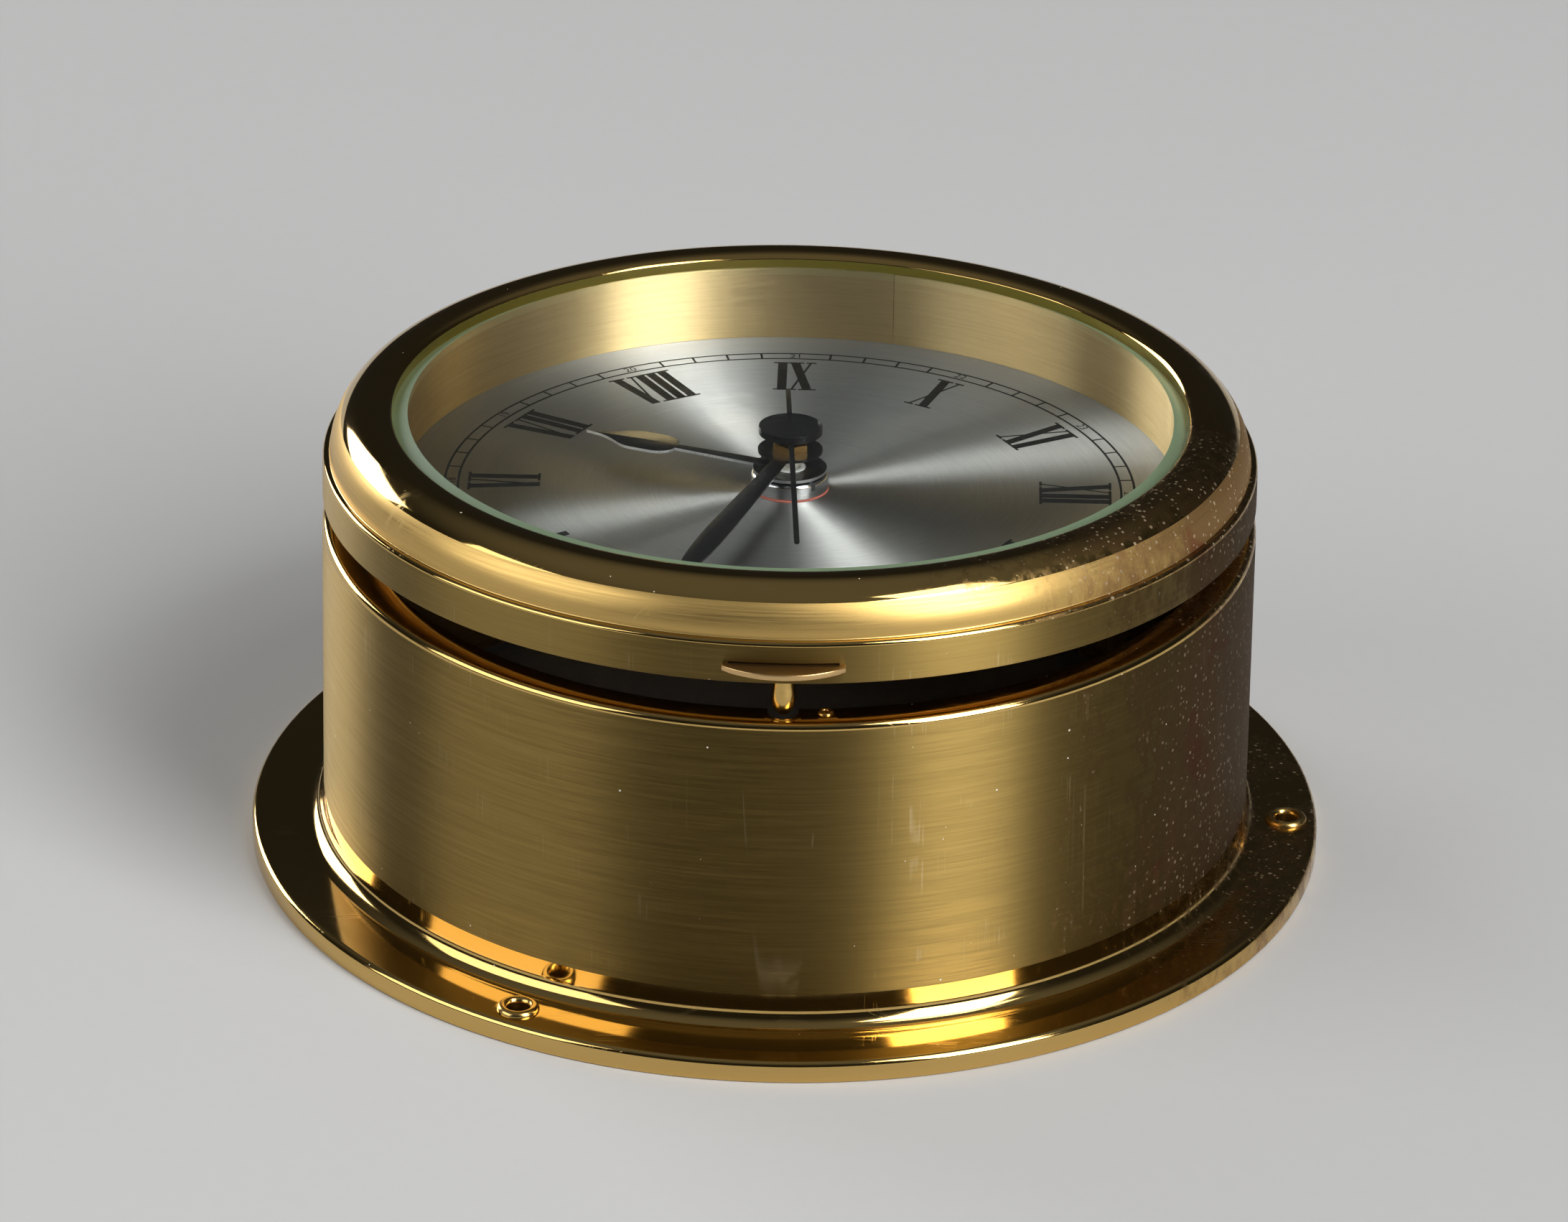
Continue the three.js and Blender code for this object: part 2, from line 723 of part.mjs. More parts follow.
function minuteHand() {
  const level = dialTop + minuteHandLevel;
  const root = minuteRootWidth / 2;
  const full = minuteLeafWidth / 2;
  const start = minuteHubRadius + 2;
  const swell = Array.from({ length: 4 }, (_, i) => {
    const t = i / 4;
    return [start + (minuteLeafWidest - start) * t, full - (full - root) * (1 - t) ** 1.2];
  });
  const taper = Array.from({ length: taperSteps }, (_, i) => {
    const t = i / taperSteps;
    return [minuteLeafWidest + (minuteHandLength - minuteLeafWidest) * t, full * (1 - t ** 3)];
  });
  return cut(
    join(
      plate(crossSection([[0, root], ...swell, ...taper, [minuteHandLength, 0.05]]), level, handSheet),
      rod(minuteHubRadius, level, level + handSheet, mediumRound),
    ),
    rod(minuteThreadRadius + fitGap, level - 1, level + handSheet + 1),
  );
}

function minuteNut() {
  const bottom = dialTop + minuteHandLevel + handSheet;
  const corner = minuteNutAcross / Math.sqrt(3);
  const hexagon = outline(Array.from({ length: 6 }, (_, i) => polar(corner, 60 * i)));
  return cut(plate(hexagon, bottom, minuteNutHeight), rod(minuteThreadRadius + fitGap, bottom - 1, bottom + 3));
}

function secondHand() {
  const level = dialTop + secondHandLevel;
  const top = level + secondDiscHeight;
  const pipe = secondArborRadius + fitGap + 0.5;
  const disc = turned([
    [0, top - secondDiscRecess],
    [secondDiscRadius - 0.3, top - secondDiscRecess],
    [secondDiscRadius - 0.3, top],
    [secondDiscRadius, top],
    [secondDiscRadius, level],
    [pipe, level],
    [pipe, level - 0.7],
    [0, level - 0.7],
  ], mediumRound);
  const half = secondHandWidth / 2;
  const bar = block([-half, half], [-secondTailLength, secondHandLength], [level, level + secondHandSheet]);
  return cut(join(disc, bar), rod(secondArborRadius + fitGap, level - 2, top - secondDiscRecess - 0.4, smallRound));
}

// Movement

const halfWidth = movementWidth / 2;
const halfHeight = movementHeight / 2;
const bayInner = -halfHeight + movementWall + bayWidth;
const coverEdge = bayInner;
const inside = (level) => movementBack + level;
const bossAcross = halfWidth - bossInset;
const bossUp = halfHeight - bossInset;
const bosses = [[bossAcross, bossUp], [-bossAcross, bossUp], [bossAcross, -lowBoss]];
const boardPosts = [[-18, 16], [-13, -6]];

function movementHousing() {
  const shell = plate(roundedRectangle(movementWidth, movementHeight, movementCorner), movementBack, movementDepth);
  const pocket = [movementWidth - 2 * movementWall, movementHeight - 2 * movementWall];
  const hollowDepth = movementDepth - movementFront + 1;
  const hollow = plate(roundedRectangle(...pocket, movementCorner - movementWall), movementBack - 1, hollowDepth);
  const top = [movementBack, panFloorBottom - movementFront / 2];
  const divider = block([-halfWidth + 0.5, halfWidth - 0.5], [bayInner, bayInner + bayWall], top);
  const bushHeight = dialTop + bushTop;
  const bush = rod(bushRadius, movementInside, bushHeight, mediumRound);
  const towers = bosses.map(([x, y]) => rod(bossRadius, ...top).translate(x, y, 0));
  const boardTop = inside(boardLevel + boardThickness);
  const props = boardPosts.map(([x, y]) => rod(1.4, boardTop, movementInside + 0.5).translate(x, y, 0));
  const pilots = bosses.map(([x, y]) => rod(coverScrewRadius + fitGap, movementBack - 1, inside(coverScrewReach)).translate(x, y, 0));
  const openBack = cut(shell, hollow);
  const filled = join(openBack, divider, bush, ...towers, ...props);
  return cut(filled, rod(bushBore, movementBack, bushHeight + 1, mediumRound), ...pilots);
}

function movementCover() {
  const bottom = movementBack - coverThickness;
  const whole = plate(roundedRectangle(movementWidth, movementHeight, movementCorner), bottom, coverThickness);
  const bay = block([-halfWidth - 1, halfWidth + 1], [-halfHeight - 1, coverEdge], [bottom - 1, movementBack + 1]);
  const screwHoles = bosses.map(([x, y]) =>
    rod(coverScrewRadius + fitGap, bottom - 1, movementBack + 1).translate(x, y, 0));
  const knobHole = rod(1 + fitGap, bottom - 1, movementBack + 1).translate(knobPlace.x, knobPlace.y, 0);
  return cut(whole, bay, ...screwHoles, knobHole);
}

function coverScrew([x, y]) {
  const seat = movementBack - coverThickness;
  const profile = [
    [0, seat - 1.1],
    [coverScrewHead - 0.4, seat - 1.1],
    [coverScrewHead, seat - 0.6],
    [coverScrewHead, seat],
    [coverScrewRadius, seat],
    [coverScrewRadius, inside(coverScrewTop)],
    [0, inside(coverScrewTop)],
  ];
  return turned(profile, smallRound).translate(x, y, 0);
}

const batteryZ = movementInside - 0.4 - batteryRadius;
const batteryY = -halfHeight + movementWall + bayWidth / 2;
const contactFace = halfWidth - movementWall - fitGap - contactSheet;

function battery() {
  const start = -contactFace + fitGap;
  const profile = [
    [0, 0],
    [batteryRadius - 0.6, 0],
    [batteryRadius, 0.6],
    [batteryRadius, batteryLength - 0.6],
    [batteryRadius - 0.6, batteryLength],
    [batteryNub, batteryLength],
    [batteryNub, batteryLength + batteryNubHeight],
    [0, batteryLength + batteryNubHeight],
  ];
  return turned(profile, smallRound).rotateY(Math.PI / 2).translate(start, batteryY, batteryZ);
}

function contact(side) {
  const faces = [side * contactFace, side * (contactFace + contactSheet)].sort((a, b) => a - b);
  const width = contactWidth / 2;
  return block(faces, [batteryY - width, batteryY + width], [batteryZ - width, movementInside - fitGap]);
}

const coilX = movementWall + coilInset - halfWidth;
const coilStart = -8;
const coilZ = inside(coilLevel);

function coil() {
  const profile = [
    [coilBore, 0],
    [coilFlangeRadius, 0],
    [coilFlangeRadius, coilFlange],
    [coilRadius, coilFlange],
    [coilRadius, coilLength - coilFlange],
    [coilFlangeRadius, coilLength - coilFlange],
    [coilFlangeRadius, coilLength],
    [coilBore, coilLength],
  ];
  return alongY(turned(profile, smallRound), coilX, coilStart, coilZ);
}

function coilCore() {
  return alongY(rod(coreRadius, -coreOverhang, coilLength + coreOverhang), coilX, coilStart, coilZ);
}

const statorLevel = 1.25;
const statorNear = trainReach - 1.3;
const statorFar = 1.5;
const rotorLevel = 0.8;

function stator() {
  const bottom = inside(statorLevel);
  const sheet = 0.8;
  const body = block([coilX - 1, rotorPlace.x + rotorMagnetRadius + 1], [-statorNear, statorFar], [bottom, bottom + sheet]);
  return cut(body, rod(rotorMagnetRadius + fitGap, bottom - 1, bottom + 2).translate(rotorPlace.x, rotorPlace.y, 0));
}

function circuitBoard() {
  const bottom = inside(boardLevel);
  return block(
    [-halfWidth + boardMargin, -boardEdge],
    [bayInner + bayWall + boardSlack, halfHeight - boardInset],
    [bottom, bottom + boardThickness],
  );
}

// Wheel train: pitch radii from the spacing and the ratio of each pair

const pinionOf = (spacing, ratio) => spacing / (1 + ratio);
const wheelOf = (spacing, ratio) => spacing * ratio / (1 + ratio);
const secondPinion = pinionOf(trainSpacing, secondToThird) - meshGap;
const thirdWheelRadius = wheelOf(trainSpacing, secondToThird) - meshGap;
const thirdPinion = pinionOf(trainSpacing, thirdToCentre) - meshGap;
const centreWheelRadius = wheelOf(trainSpacing, thirdToCentre) - meshGap;
const rotorPinion = pinionOf(rotorSpacing, rotorToIntermediate) - meshGap;
const intermediateWheelRadius = wheelOf(rotorSpacing, rotorToIntermediate) - meshGap;
const intermediatePinion = pinionOf(intermediateSpacing, intermediateToSecond) - meshGap;
const secondWheelRadius = wheelOf(intermediateSpacing, intermediateToSecond) - meshGap;
const minutePinion = pinionOf(motionSpacing, minuteToMotion) - meshGap;
const motionWheelRadius = wheelOf(motionSpacing, minuteToMotion) - meshGap;
const motionPinion = pinionOf(motionSpacing, motionToHour) - meshGap;
const hourWheelRadius = wheelOf(motionSpacing, motionToHour) - meshGap;

const place = (degrees, distance, from = { x: 0, y: 0 }) => {
  const [x, y] = polar(distance, degrees);
  return { x: from.x + x, y: from.y + y };
};
const thirdPlace = place(90, trainSpacing);
const intermediatePlace = place(250, intermediateSpacing);
const rotorPlace = place(170, rotorSpacing, intermediatePlace);
const motionPlace = place(30, motionSpacing);
const knobPlace = place(40, wheelOf(motionSpacing, minuteToMotion) + knobWheelRadius, motionPlace);

const secondWheelLevel = 2.15;
const secondPinionLevel = 3.05;
const intermediateWheelLevel = 3.35;
const thirdPinionLevel = 4.45;
const centreWheelLevel = 4.85;
const thirdArborTop = 6.5;
const rotorArborTop = 5;
const minuteTubeLevel = 4.15;
const minutePinionLevel = 7.45;
const motionWheelLevel = 7.65;
const motionPinionLevel = 8.5;
const hourWheelLevel = 9.35;
const pinionHeight = 1.2;
const thinWheel = 0.4;

// An arbor with wheels and pinions on it: steps of [radius, bottom, top] in rising order
function arborWith(bottom, top, steps, radius = arborRadius) {
  const profile = [[0, bottom], [radius, bottom]];
  for (const [wheel, from, to] of steps) {
    if (wheel > radius) profile.push([radius, from], [wheel, from], [wheel, to], [radius, to]);
  }
  profile.push([radius, top], [0, top]);
  return turned(profile, wheelRound);
}

function secondWheel() {
  return arborWith(inside(fitGap), dialTop + secondHandLevel + secondDiscHeight - secondDiscRecess - 0.4 - fitGap, [
    [secondWheelRadius, inside(secondWheelLevel), inside(secondWheelLevel + wheelSheet)],
    [secondPinion, inside(secondPinionLevel), inside(secondPinionLevel + pinionHeight - stickOut)],
  ], secondArborRadius);
}

function thirdWheel() {
  return arborWith(inside(fitGap), inside(thirdArborTop), [
    [thirdWheelRadius, inside(intermediateWheelLevel), inside(intermediateWheelLevel + thinWheel)],
    [Math.max(thirdPinion, arborRadius), inside(thirdPinionLevel), inside(thirdPinionLevel + pinionHeight)],
  ], thirdPinion * 0.8).translate(thirdPlace.x, thirdPlace.y, 0);
}

function intermediateWheel() {
  return arborWith(inside(fitGap), inside(4), [
    [intermediatePinion, inside(secondWheelLevel - 0.2), inside(secondWheelLevel + wheelSheet + 0.2)],
    [intermediateWheelRadius, inside(intermediateWheelLevel), inside(intermediateWheelLevel + thinWheel)],
  ], 0.35).translate(intermediatePlace.x, intermediatePlace.y, 0);
}

function rotor() {
  return arborWith(inside(fitGap), inside(rotorArborTop), [
    [rotorMagnetRadius, inside(rotorLevel), inside(rotorLevel + rotorMagnetHeight)],
    [rotorPinion, inside(secondPinionLevel), inside(secondPinionLevel + pinionHeight)],
  ], 0.35).translate(rotorPlace.x, rotorPlace.y, 0);
}

function centreWheel() {
  const bottom = inside(centreWheelLevel);
  return ring(minuteTubeRadius + fitGap, centreWheelRadius, bottom, bottom + wheelSheet, wheelRound);
}

function minuteTube() {
  const flangeTop = inside(centreWheelLevel) - fitGap;
  const collarBottom = dialTop + hourHandLevel + handSheet + 0.6;
  const collarTop = dialTop + minuteHandLevel;
  const threadTop = collarTop + handSheet + minuteNutHeight - 0.2;
  return turned([
    [minuteTubeBore, inside(minuteTubeLevel)],
    [2.6, inside(minuteTubeLevel)],
    [2.6, flangeTop],
    [minuteTubeRadius, flangeTop],
    [minuteTubeRadius, inside(minutePinionLevel)],
    [minutePinion, inside(minutePinionLevel)],
    [minutePinion, inside(minutePinionLevel + 1)],
    [minuteTubeRadius, inside(minutePinionLevel + 1)],
    [minuteTubeRadius, collarBottom],
    [minuteCollarRadius, collarBottom],
    [minuteCollarRadius, collarTop],
    [minuteThreadRadius, collarTop],
    [minuteThreadRadius, threadTop],
    [minuteTubeBore, threadTop],
  ], wheelRound);
}

function motionWheel() {
  return arborWith(inside(motionWheelLevel - 0.6), movementInside - fitGap, [
    [motionWheelRadius, inside(motionWheelLevel), inside(motionWheelLevel + wheelSheet)],
    [motionPinion, inside(motionPinionLevel), inside(motionPinionLevel + 2)],
  ], 0.6).translate(motionPlace.x, motionPlace.y, 0);
}

function hourWheel() {
  const bottom = inside(hourWheelLevel);
  const top = dialTop + hourHandLevel + handSheet + 0.1;
  return turned([
    [hourTubeBore, bottom],
    [hourWheelRadius, bottom],
    [hourWheelRadius, bottom + 0.7],
    [hourTubeRadius, bottom + 0.7],
    [hourTubeRadius, top],
    [hourTubeBore, top],
  ], smallRound);
}

function settingKnob() {
  const under = movementBack - coverThickness - fitGap;
  const wheelBottom = inside(motionWheelLevel);
  return turned([
    [0, under - knobHeight],
    [knobRadius - 0.6, under - knobHeight],
    [knobRadius, under - knobHeight + 0.6],
    [knobRadius, under],
    [1, under],
    [1, wheelBottom],
    [knobWheelRadius - meshGap, wheelBottom],
    [knobWheelRadius - meshGap, wheelBottom + wheelSheet],
    [0, wheelBottom + wheelSheet],
  ], smallRound).translate(knobPlace.x, knobPlace.y, 0);
}

// Pieces that stay with the case

piece(clock, 'case_body', caseBody(), materials.satinBrass);
for (const [name, angle] of Object.entries(eyeletAngles)) {
  piece(clock, name, eyelet(angle), materials.polishedBrass);
}
piece(clock, 'catch_spring', catchSpring(), materials.steel);
piece(clock, 'catch_rivet', catchRivet(), materials.polishedBrass);

const middle = hingeMiddleKnuckle / 2;
const outerKnuckles = [[-hingeLength / 2, -middle - fitGap], [middle + fitGap, hingeLength / 2]];
piece(clock, 'hinge_leaf_case', hingeLeaf(-1, bodyRadius, caseLeafHeight, outerKnuckles), materials.dullBrass);
piece(clock, 'hinge_pin', hingePin(), materials.polishedBrass);
rivetPositions(caseRivetHeight).forEach((where, i) => {
  piece(clock, `hinge_rivet_case_${i + 1}`, hingeRivet(where, wallInside), materials.polishedBrass);
});

// Pieces that swing with the bezel

piece(front, 'bezel_ring', bezelRing(), materials.polishedBrass);
piece(front, 'glass', glassDisc(), materials.glass);
piece(front, 'inner_ring', innerRing(), materials.innerBrass);
piece(front, 'dial_plate', ring(dialHole, dialRadius, dialBottom, dialTop, largeRound), materials.silvered);
piece(front, 'carrier_pan', carrierPan(), materials.dullBrass);
piece(front, 'hinge_leaf_bezel', hingeLeaf(1, bezelRadius, bezelLeafHeight, [[-middle, middle]]), materials.dullBrass);
rivetPositions(bezelRivetHeight).forEach((where, i) => {
  piece(front, `hinge_rivet_bezel_${i + 1}`, hingeRivet(where, bezelRadius - bezelSheet), materials.polishedBrass);
});
postAngles.forEach((angle, i) => {
  const [x, y] = polar(postCircle, angle);
  const screw = countersunk(0, panFlangeBottom + screwLength).translate(x, y, 0);
  piece(front, `pan_screw_${i + 1}`, screw, materials.polishedBrass);
});
piece(front, 'finger_tab', fingerTab(), materials.dullBrass);
piece(front, 'snap_stud', snapStud(), materials.dullBrass);

const washerTop = dialTop + washerThickness;
piece(front, 'fibre_washer', ring(bushRadius + fitGap, washerRadius, dialTop, washerTop, mediumRound), materials.fibre);
const centreNut = turned([
  [bushRadius + fitGap, washerTop],
  [centreNutRadius, washerTop],
  [centreNutRadius, dialTop + centreNutTop - 0.5],
  [centreNutRadius - 0.4, dialTop + centreNutTop],
  [bushRadius + fitGap, dialTop + centreNutTop],
], mediumRound);
piece(front, 'centre_nut', centreNut, materials.chrome);

piece(front, 'movement_housing', movementHousing(), materials.plastic);
piece(front, 'movement_cover', movementCover(), materials.plastic);
bosses.forEach((where, i) => piece(front, `cover_screw_${i + 1}`, coverScrew(where), materials.steel));
piece(front, 'battery', battery(), materials.cell);
piece(front, 'battery_contact_minus', contact(-1), materials.steel);
piece(front, 'battery_contact_plus', contact(1), materials.steel);
piece(front, 'circuit_board', circuitBoard(), materials.board);
piece(front, 'coil', coil(), materials.copper);
piece(front, 'coil_core', coilCore(), materials.steel);
piece(front, 'stator', stator(), materials.steel);

// Wheels

piece(front, 'rotor', rotor(), materials.steel);
piece(front, 'intermediate_wheel', intermediateWheel(), materials.whitePlastic);
piece(front, 'second_wheel', secondWheel(), materials.whitePlastic);
piece(front, 'third_wheel', thirdWheel(), materials.whitePlastic);
piece(front, 'centre_wheel', centreWheel(), materials.whitePlastic);
piece(front, 'minute_tube', minuteTube(), materials.chrome);
piece(front, 'motion_wheel', motionWheel(), materials.whitePlastic);
piece(front, 'hour_wheel', hourWheel(), materials.whitePlastic);
piece(front, 'setting_knob', settingKnob(), materials.whitePlastic);

// Hands

piece(handGroup(hourHandAngle), 'hour_hand', hourHand(), materials.black);
const minuteGroup = handGroup(minuteHandAngle);
piece(minuteGroup, 'minute_hand', minuteHand(), materials.black);
piece(minuteGroup, 'minute_nut', minuteNut(), materials.polishedBrass);
piece(handGroup(secondHandAngle), 'second_hand', secondHand(), materials.black);

export default clock;
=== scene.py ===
"""A ship's clock in spun brass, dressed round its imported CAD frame."""

import math

import bpy
from bpy.props import FloatProperty, FloatVectorProperty, IntProperty, PointerProperty
from mathutils import Matrix, Vector


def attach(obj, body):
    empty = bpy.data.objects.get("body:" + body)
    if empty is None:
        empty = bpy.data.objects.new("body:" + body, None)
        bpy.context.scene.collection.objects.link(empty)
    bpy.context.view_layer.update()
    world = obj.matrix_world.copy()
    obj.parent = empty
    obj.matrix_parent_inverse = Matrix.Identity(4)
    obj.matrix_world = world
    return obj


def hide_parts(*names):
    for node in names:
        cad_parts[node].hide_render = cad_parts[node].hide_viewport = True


bl_info = {
    "name": "Ship's clock",
    "version": (1, 0, 0),
    "blender": (4, 5, 0),
    "location": "View3D > Sidebar > Clock",
    "description": "Builds the pieces, finishes and stage of a brass ship's clock",
    "category": "Add Mesh",
}

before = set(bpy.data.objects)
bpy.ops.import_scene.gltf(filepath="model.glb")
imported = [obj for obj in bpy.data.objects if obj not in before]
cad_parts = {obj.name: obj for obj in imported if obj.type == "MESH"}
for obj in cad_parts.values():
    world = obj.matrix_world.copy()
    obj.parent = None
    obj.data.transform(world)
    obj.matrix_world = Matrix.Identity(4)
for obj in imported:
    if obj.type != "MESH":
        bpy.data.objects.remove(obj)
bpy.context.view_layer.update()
MM = 0.001

# Places in millimetres, with the front shut, as the CAD has them
AJAR = math.radians(2.35)
HINGE_X, HINGE_Z = -80.4, 59.15
HINGE = Vector((HINGE_X, 0.0, HINGE_Z)) * MM
SKIRT_BOTTOM = 59.5
SHOULDER = 66.6
LIP_TOP = 74.2
GLASS_BOTTOM, GLASS_SEAT, GLASS_TOP = 71.3, 72.15, 73.45
DIAL_BOTTOM, DIAL_TOP = 58.0, 58.5
DIAL_BORE = 4.2
WASHER_TOP = DIAL_TOP + 0.32
PRINT_TURN = 0.41
PAN_BOTTOM = 57.2
PAN_FLANGE, PAN_FLANGE_TOP = 59.7, 60.5
STUD_CIRCLE = 72.9
NOTCH_CIRCLE = 73.3
CATCH_RIVET = (73.4, 5.3)
MOVEMENT_BACK = 41.7
EYELETS = {"eyelet_xii": 88.6, "eyelet_iiii": -30.0, "eyelet_viii": 210.0}
EYELET_CIRCLE = 84.6
POST_CIRCLE = 71.5
FRONT = Matrix.Translation(HINGE) @ Matrix.Rotation(-AJAR, 4, "Y") @ Matrix.Translation(-HINGE)

# Colours of the wear
RUST = (0.22, 0.06, 0.03)
PITTED = (0.58, 0.49, 0.34)
SCRATCHED = (0.66, 0.54, 0.34)
DUSTY = (0.85, 0.80, 0.68)
LIGHT_DUST = (0.6, 0.57, 0.5)
YELLOWED = (0.66, 0.62, 0.52)


def distance(name, description, millimetres):
    """A length that a user may change."""
    return FloatProperty(
        name=name, description=description, default=millimetres * MM, min=0.0, precision=4,
        unit="LENGTH", subtype="DISTANCE",
    )


def colour(name, description, *default):
    """A colour that a user may change."""
    return FloatVectorProperty(
        name=name, description=description, default=default, min=0.0, max=1.0, subtype="COLOR"
    )


def share(name, description, default):
    """A value from nothing to all that a user may change."""
    return FloatProperty(
        name=name, description=description, default=default, min=0.0, max=1.0, subtype="FACTOR"
    )


class ClockSizes(bpy.types.PropertyGroup):
    """Sizes of the clock's pieces."""

    body_radius: distance("Body radius", "Radius of the case's wall", 77.7)
    flange_radius: distance("Flange radius", "Radius of the case's foot", 89.8)
    case_height: distance("Case height", "Height of the case's rim", 58.8)
    bezel_radius: distance("Bezel radius", "Radius of the bezel's skirt", 77.6)
    lip_radius: distance("Lip radius", "Radius of the bezel's opening", 66.1)
    glass_bevel: distance("Glass bevel", "Width of the ground edge of the glass", 2.6)
    dial_radius: distance("Dial radius", "Radius of the dial plate", 66.4)
    track_radius: distance("Track radius", "Outer circle of the minute track", 57.6)
    track_width: distance("Track width", "Between the two circles of the minute track", 2.65)
    numeral_foot: distance("Numeral foot", "Radius of the numerals' feet", 41.5)
    numeral_head: distance("Numeral head", "Radius of the numerals' heads", 53.5)
    hour_length: distance("Hour hand", "From the centre to the hour hand's point", 36.9)
    minute_length: distance("Minute hand", "From the centre to the minute hand's point", 57.0)
    second_length: distance("Second hand", "From the centre to the second hand's end", 45.8)
    second_tail: distance("Second hand tail", "From the centre to the tail's end", 17.2)
    stud_radius: distance("Stud belly", "Largest radius of the snap stud", 2.0)
    tab_length: distance("Tab length", "Length of the finger tab along the skirt", 19.8)
    turns: IntProperty(
        name="Round steps", description="Steps of a large round piece", default=160, min=48, max=256
    )


class ClockFinishes(bpy.types.PropertyGroup):
    """Colours and wear of the clock's finishes."""

    brass: colour("Brass", "Clean polished brass", 0.63, 0.42, 0.14)
    # Brushed brass whose colour is darkened far below clean brass: painted shade of the dark room
    # that the walls mirror
    shaded_satin_brass: colour("Satin brass", "Clean brushed brass", 0.25, 0.17, 0.052)
    tarnish: colour("Tarnish", "Brown film on old brass", 0.21, 0.115, 0.05)
    inner_brass: colour("Inner ring", "Pale brass of the inner ring", 0.72, 0.55, 0.28)
    silver: colour("Dial", "Silvered dial", 0.47, 0.47, 0.46)
    chrome: colour("Chrome", "Plated nut and collar", 0.86, 0.87, 0.88)
    lacquer: colour("Lacquer", "Black hands and print", 0.008, 0.008, 0.008)
    ground_glass: colour("Ground edge", "Frosted edge of the glass", 0.24, 0.35, 0.2)
    fibre: colour("Fibre", "Red washer", 0.38, 0.10, 0.07)
    black_plastic: colour("Black plastic", "Movement housing", 0.02, 0.02, 0.021)
    floor: colour("Floor", "Pale floor", 0.58, 0.58, 0.575)
    tarnish_share: share("Tarnish", "How much brown film the brass carries", 0.8)
    dust_share: share("Dust", "How much dust lies on the brass", 0.5)
    brushing: share("Brushing", "Strength of the turned grain", 0.6)


def sizes():
    return bpy.context.scene.clock_sizes


def finishes():
    return bpy.context.scene.clock_finishes


def in_mm(*lengths):
    return [length / MM for length in lengths]


# Modelling helpers


def mode(name):
    bpy.ops.object.mode_set(mode=name)


def select_mesh():
    bpy.ops.mesh.select_all(action="SELECT")


def clear_selection():
    if bpy.context.mode != "OBJECT":
        mode("OBJECT")
    bpy.ops.object.select_all(action="DESELECT")


def only(obj):
    clear_selection()
    obj.select_set(True)
    bpy.context.view_layer.objects.active = obj


def named(name):
    """The new piece in hand, under its own name."""
    obj = bpy.context.object
    obj.name = name
    obj.data.name = name
    return obj


def trace(points):
    """A plane reduced to one vertex and extruded along the points, left in edit mode."""
    clear_selection()
    bpy.ops.mesh.primitive_plane_add(size=MM)
    mode("EDIT")
    bpy.ops.mesh.merge(type="CENTER")
    here = Vector(points[0]) * MM
    bpy.ops.transform.translate(value=here)
    for point in points[1:]:
        step = Vector(point) * MM - here
        bpy.ops.mesh.extrude_region_move(TRANSFORM_OT_translate={"value": step})
        here += step


def close_loop():
    """Joins the two loose ends of a traced line."""
    mode("OBJECT")
    mesh = bpy.context.object.data
    last = len(mesh.vertices) - 1
    for vertex in mesh.vertices:
        vertex.select = vertex.index in (0, last)
    for edge in mesh.edges:
        edge.select = False
    mode("EDIT")
    bpy.ops.mesh.edge_face_add()


def tidy_mesh():
    select_mesh()
    bpy.ops.mesh.remove_doubles(threshold=2e-7)
    bpy.ops.mesh.normals_make_consistent(inside=False)
    mode("OBJECT")


def spun(name, profile, steps=None):
    """A piece turned on the lathe from its profile of radius and height."""
    trace([(radius, 0.0, height) for radius, height in profile])
    if profile[0][0] > 0 or profile[-1][0] > 0:
        close_loop()
    select_mesh()
    bpy.ops.mesh.spin(
        steps=steps or sizes().turns, angle=math.tau, center=(0, 0, 0), axis=(0, 0, 1)
    )
    tidy_mesh()
    return smooth(named(name))


def flat(name, outline, bottom, height):
    """A flat piece cut from sheet: its outline filled, then extruded up."""
    trace([(x, y, bottom) for x, y in outline])
    close_loop()
    select_mesh()
    bpy.ops.mesh.edge_face_add()
    bpy.ops.mesh.extrude_region_move(TRANSFORM_OT_translate={"value": (0, 0, height * MM)})
    tidy_mesh()
    return named(name)


def bar(name, low, high):
    """A squared block between two corners."""
    clear_selection()
    low, high = Vector(low) * MM, Vector(high) * MM
    bpy.ops.mesh.primitive_cube_add(size=1.0)
    mode("EDIT")
    bpy.ops.transform.resize(value=high - low)
    bpy.ops.transform.translate(value=(low + high) / 2)
    mode("OBJECT")
    return named(name)


def at(x=0.0, y=0.0, z=0.0):
    """A place in millimetres."""
    return Matrix.Translation(Vector((x, y, z)) * MM)


def about(degrees, axis="Z"):
    """A turn about an axis through the middle of the clock's foot."""
    return Matrix.Rotation(math.radians(degrees), 4, axis)


def moved(obj, matrix):
    """Puts a piece in its place, with the place in its mesh."""
    only(obj)
    obj.matrix_world = matrix
    bpy.ops.object.transform_apply(location=True, rotation=True, scale=True)
    return obj


def shifted(obj, x=0.0, y=0.0, z=0.0):
    return moved(obj, at(x, y, z))


def turned(obj, degrees, axis="Z"):
    return moved(obj, about(degrees, axis))


def polar(radius, degrees):
    angle = math.radians(degrees)
    return radius * math.cos(angle), radius * math.sin(angle)


def smooth(obj, degrees=35):
    only(obj)
    bpy.ops.object.shade_smooth_by_angle(angle=math.radians(degrees))
    return obj


def applied(obj, kind, **settings):
    """Adds one modifier, sets it and applies it."""
    only(obj)
    bpy.ops.object.modifier_add(type=kind)
    modifier = obj.modifiers[-1]
    for key, value in settings.items():
        setattr(modifier, key, value)
    bpy.ops.object.modifier_apply(modifier=modifier.name)


def bevelled(obj, width, segments=2, degrees=40):
    """Breaks the sharp edges of a piece."""
    limit = math.radians(degrees)
    applied(
        obj, "BEVEL", width=width * MM, segments=segments, limit_method="ANGLE", angle_limit=limit
    )
    return smooth(obj)


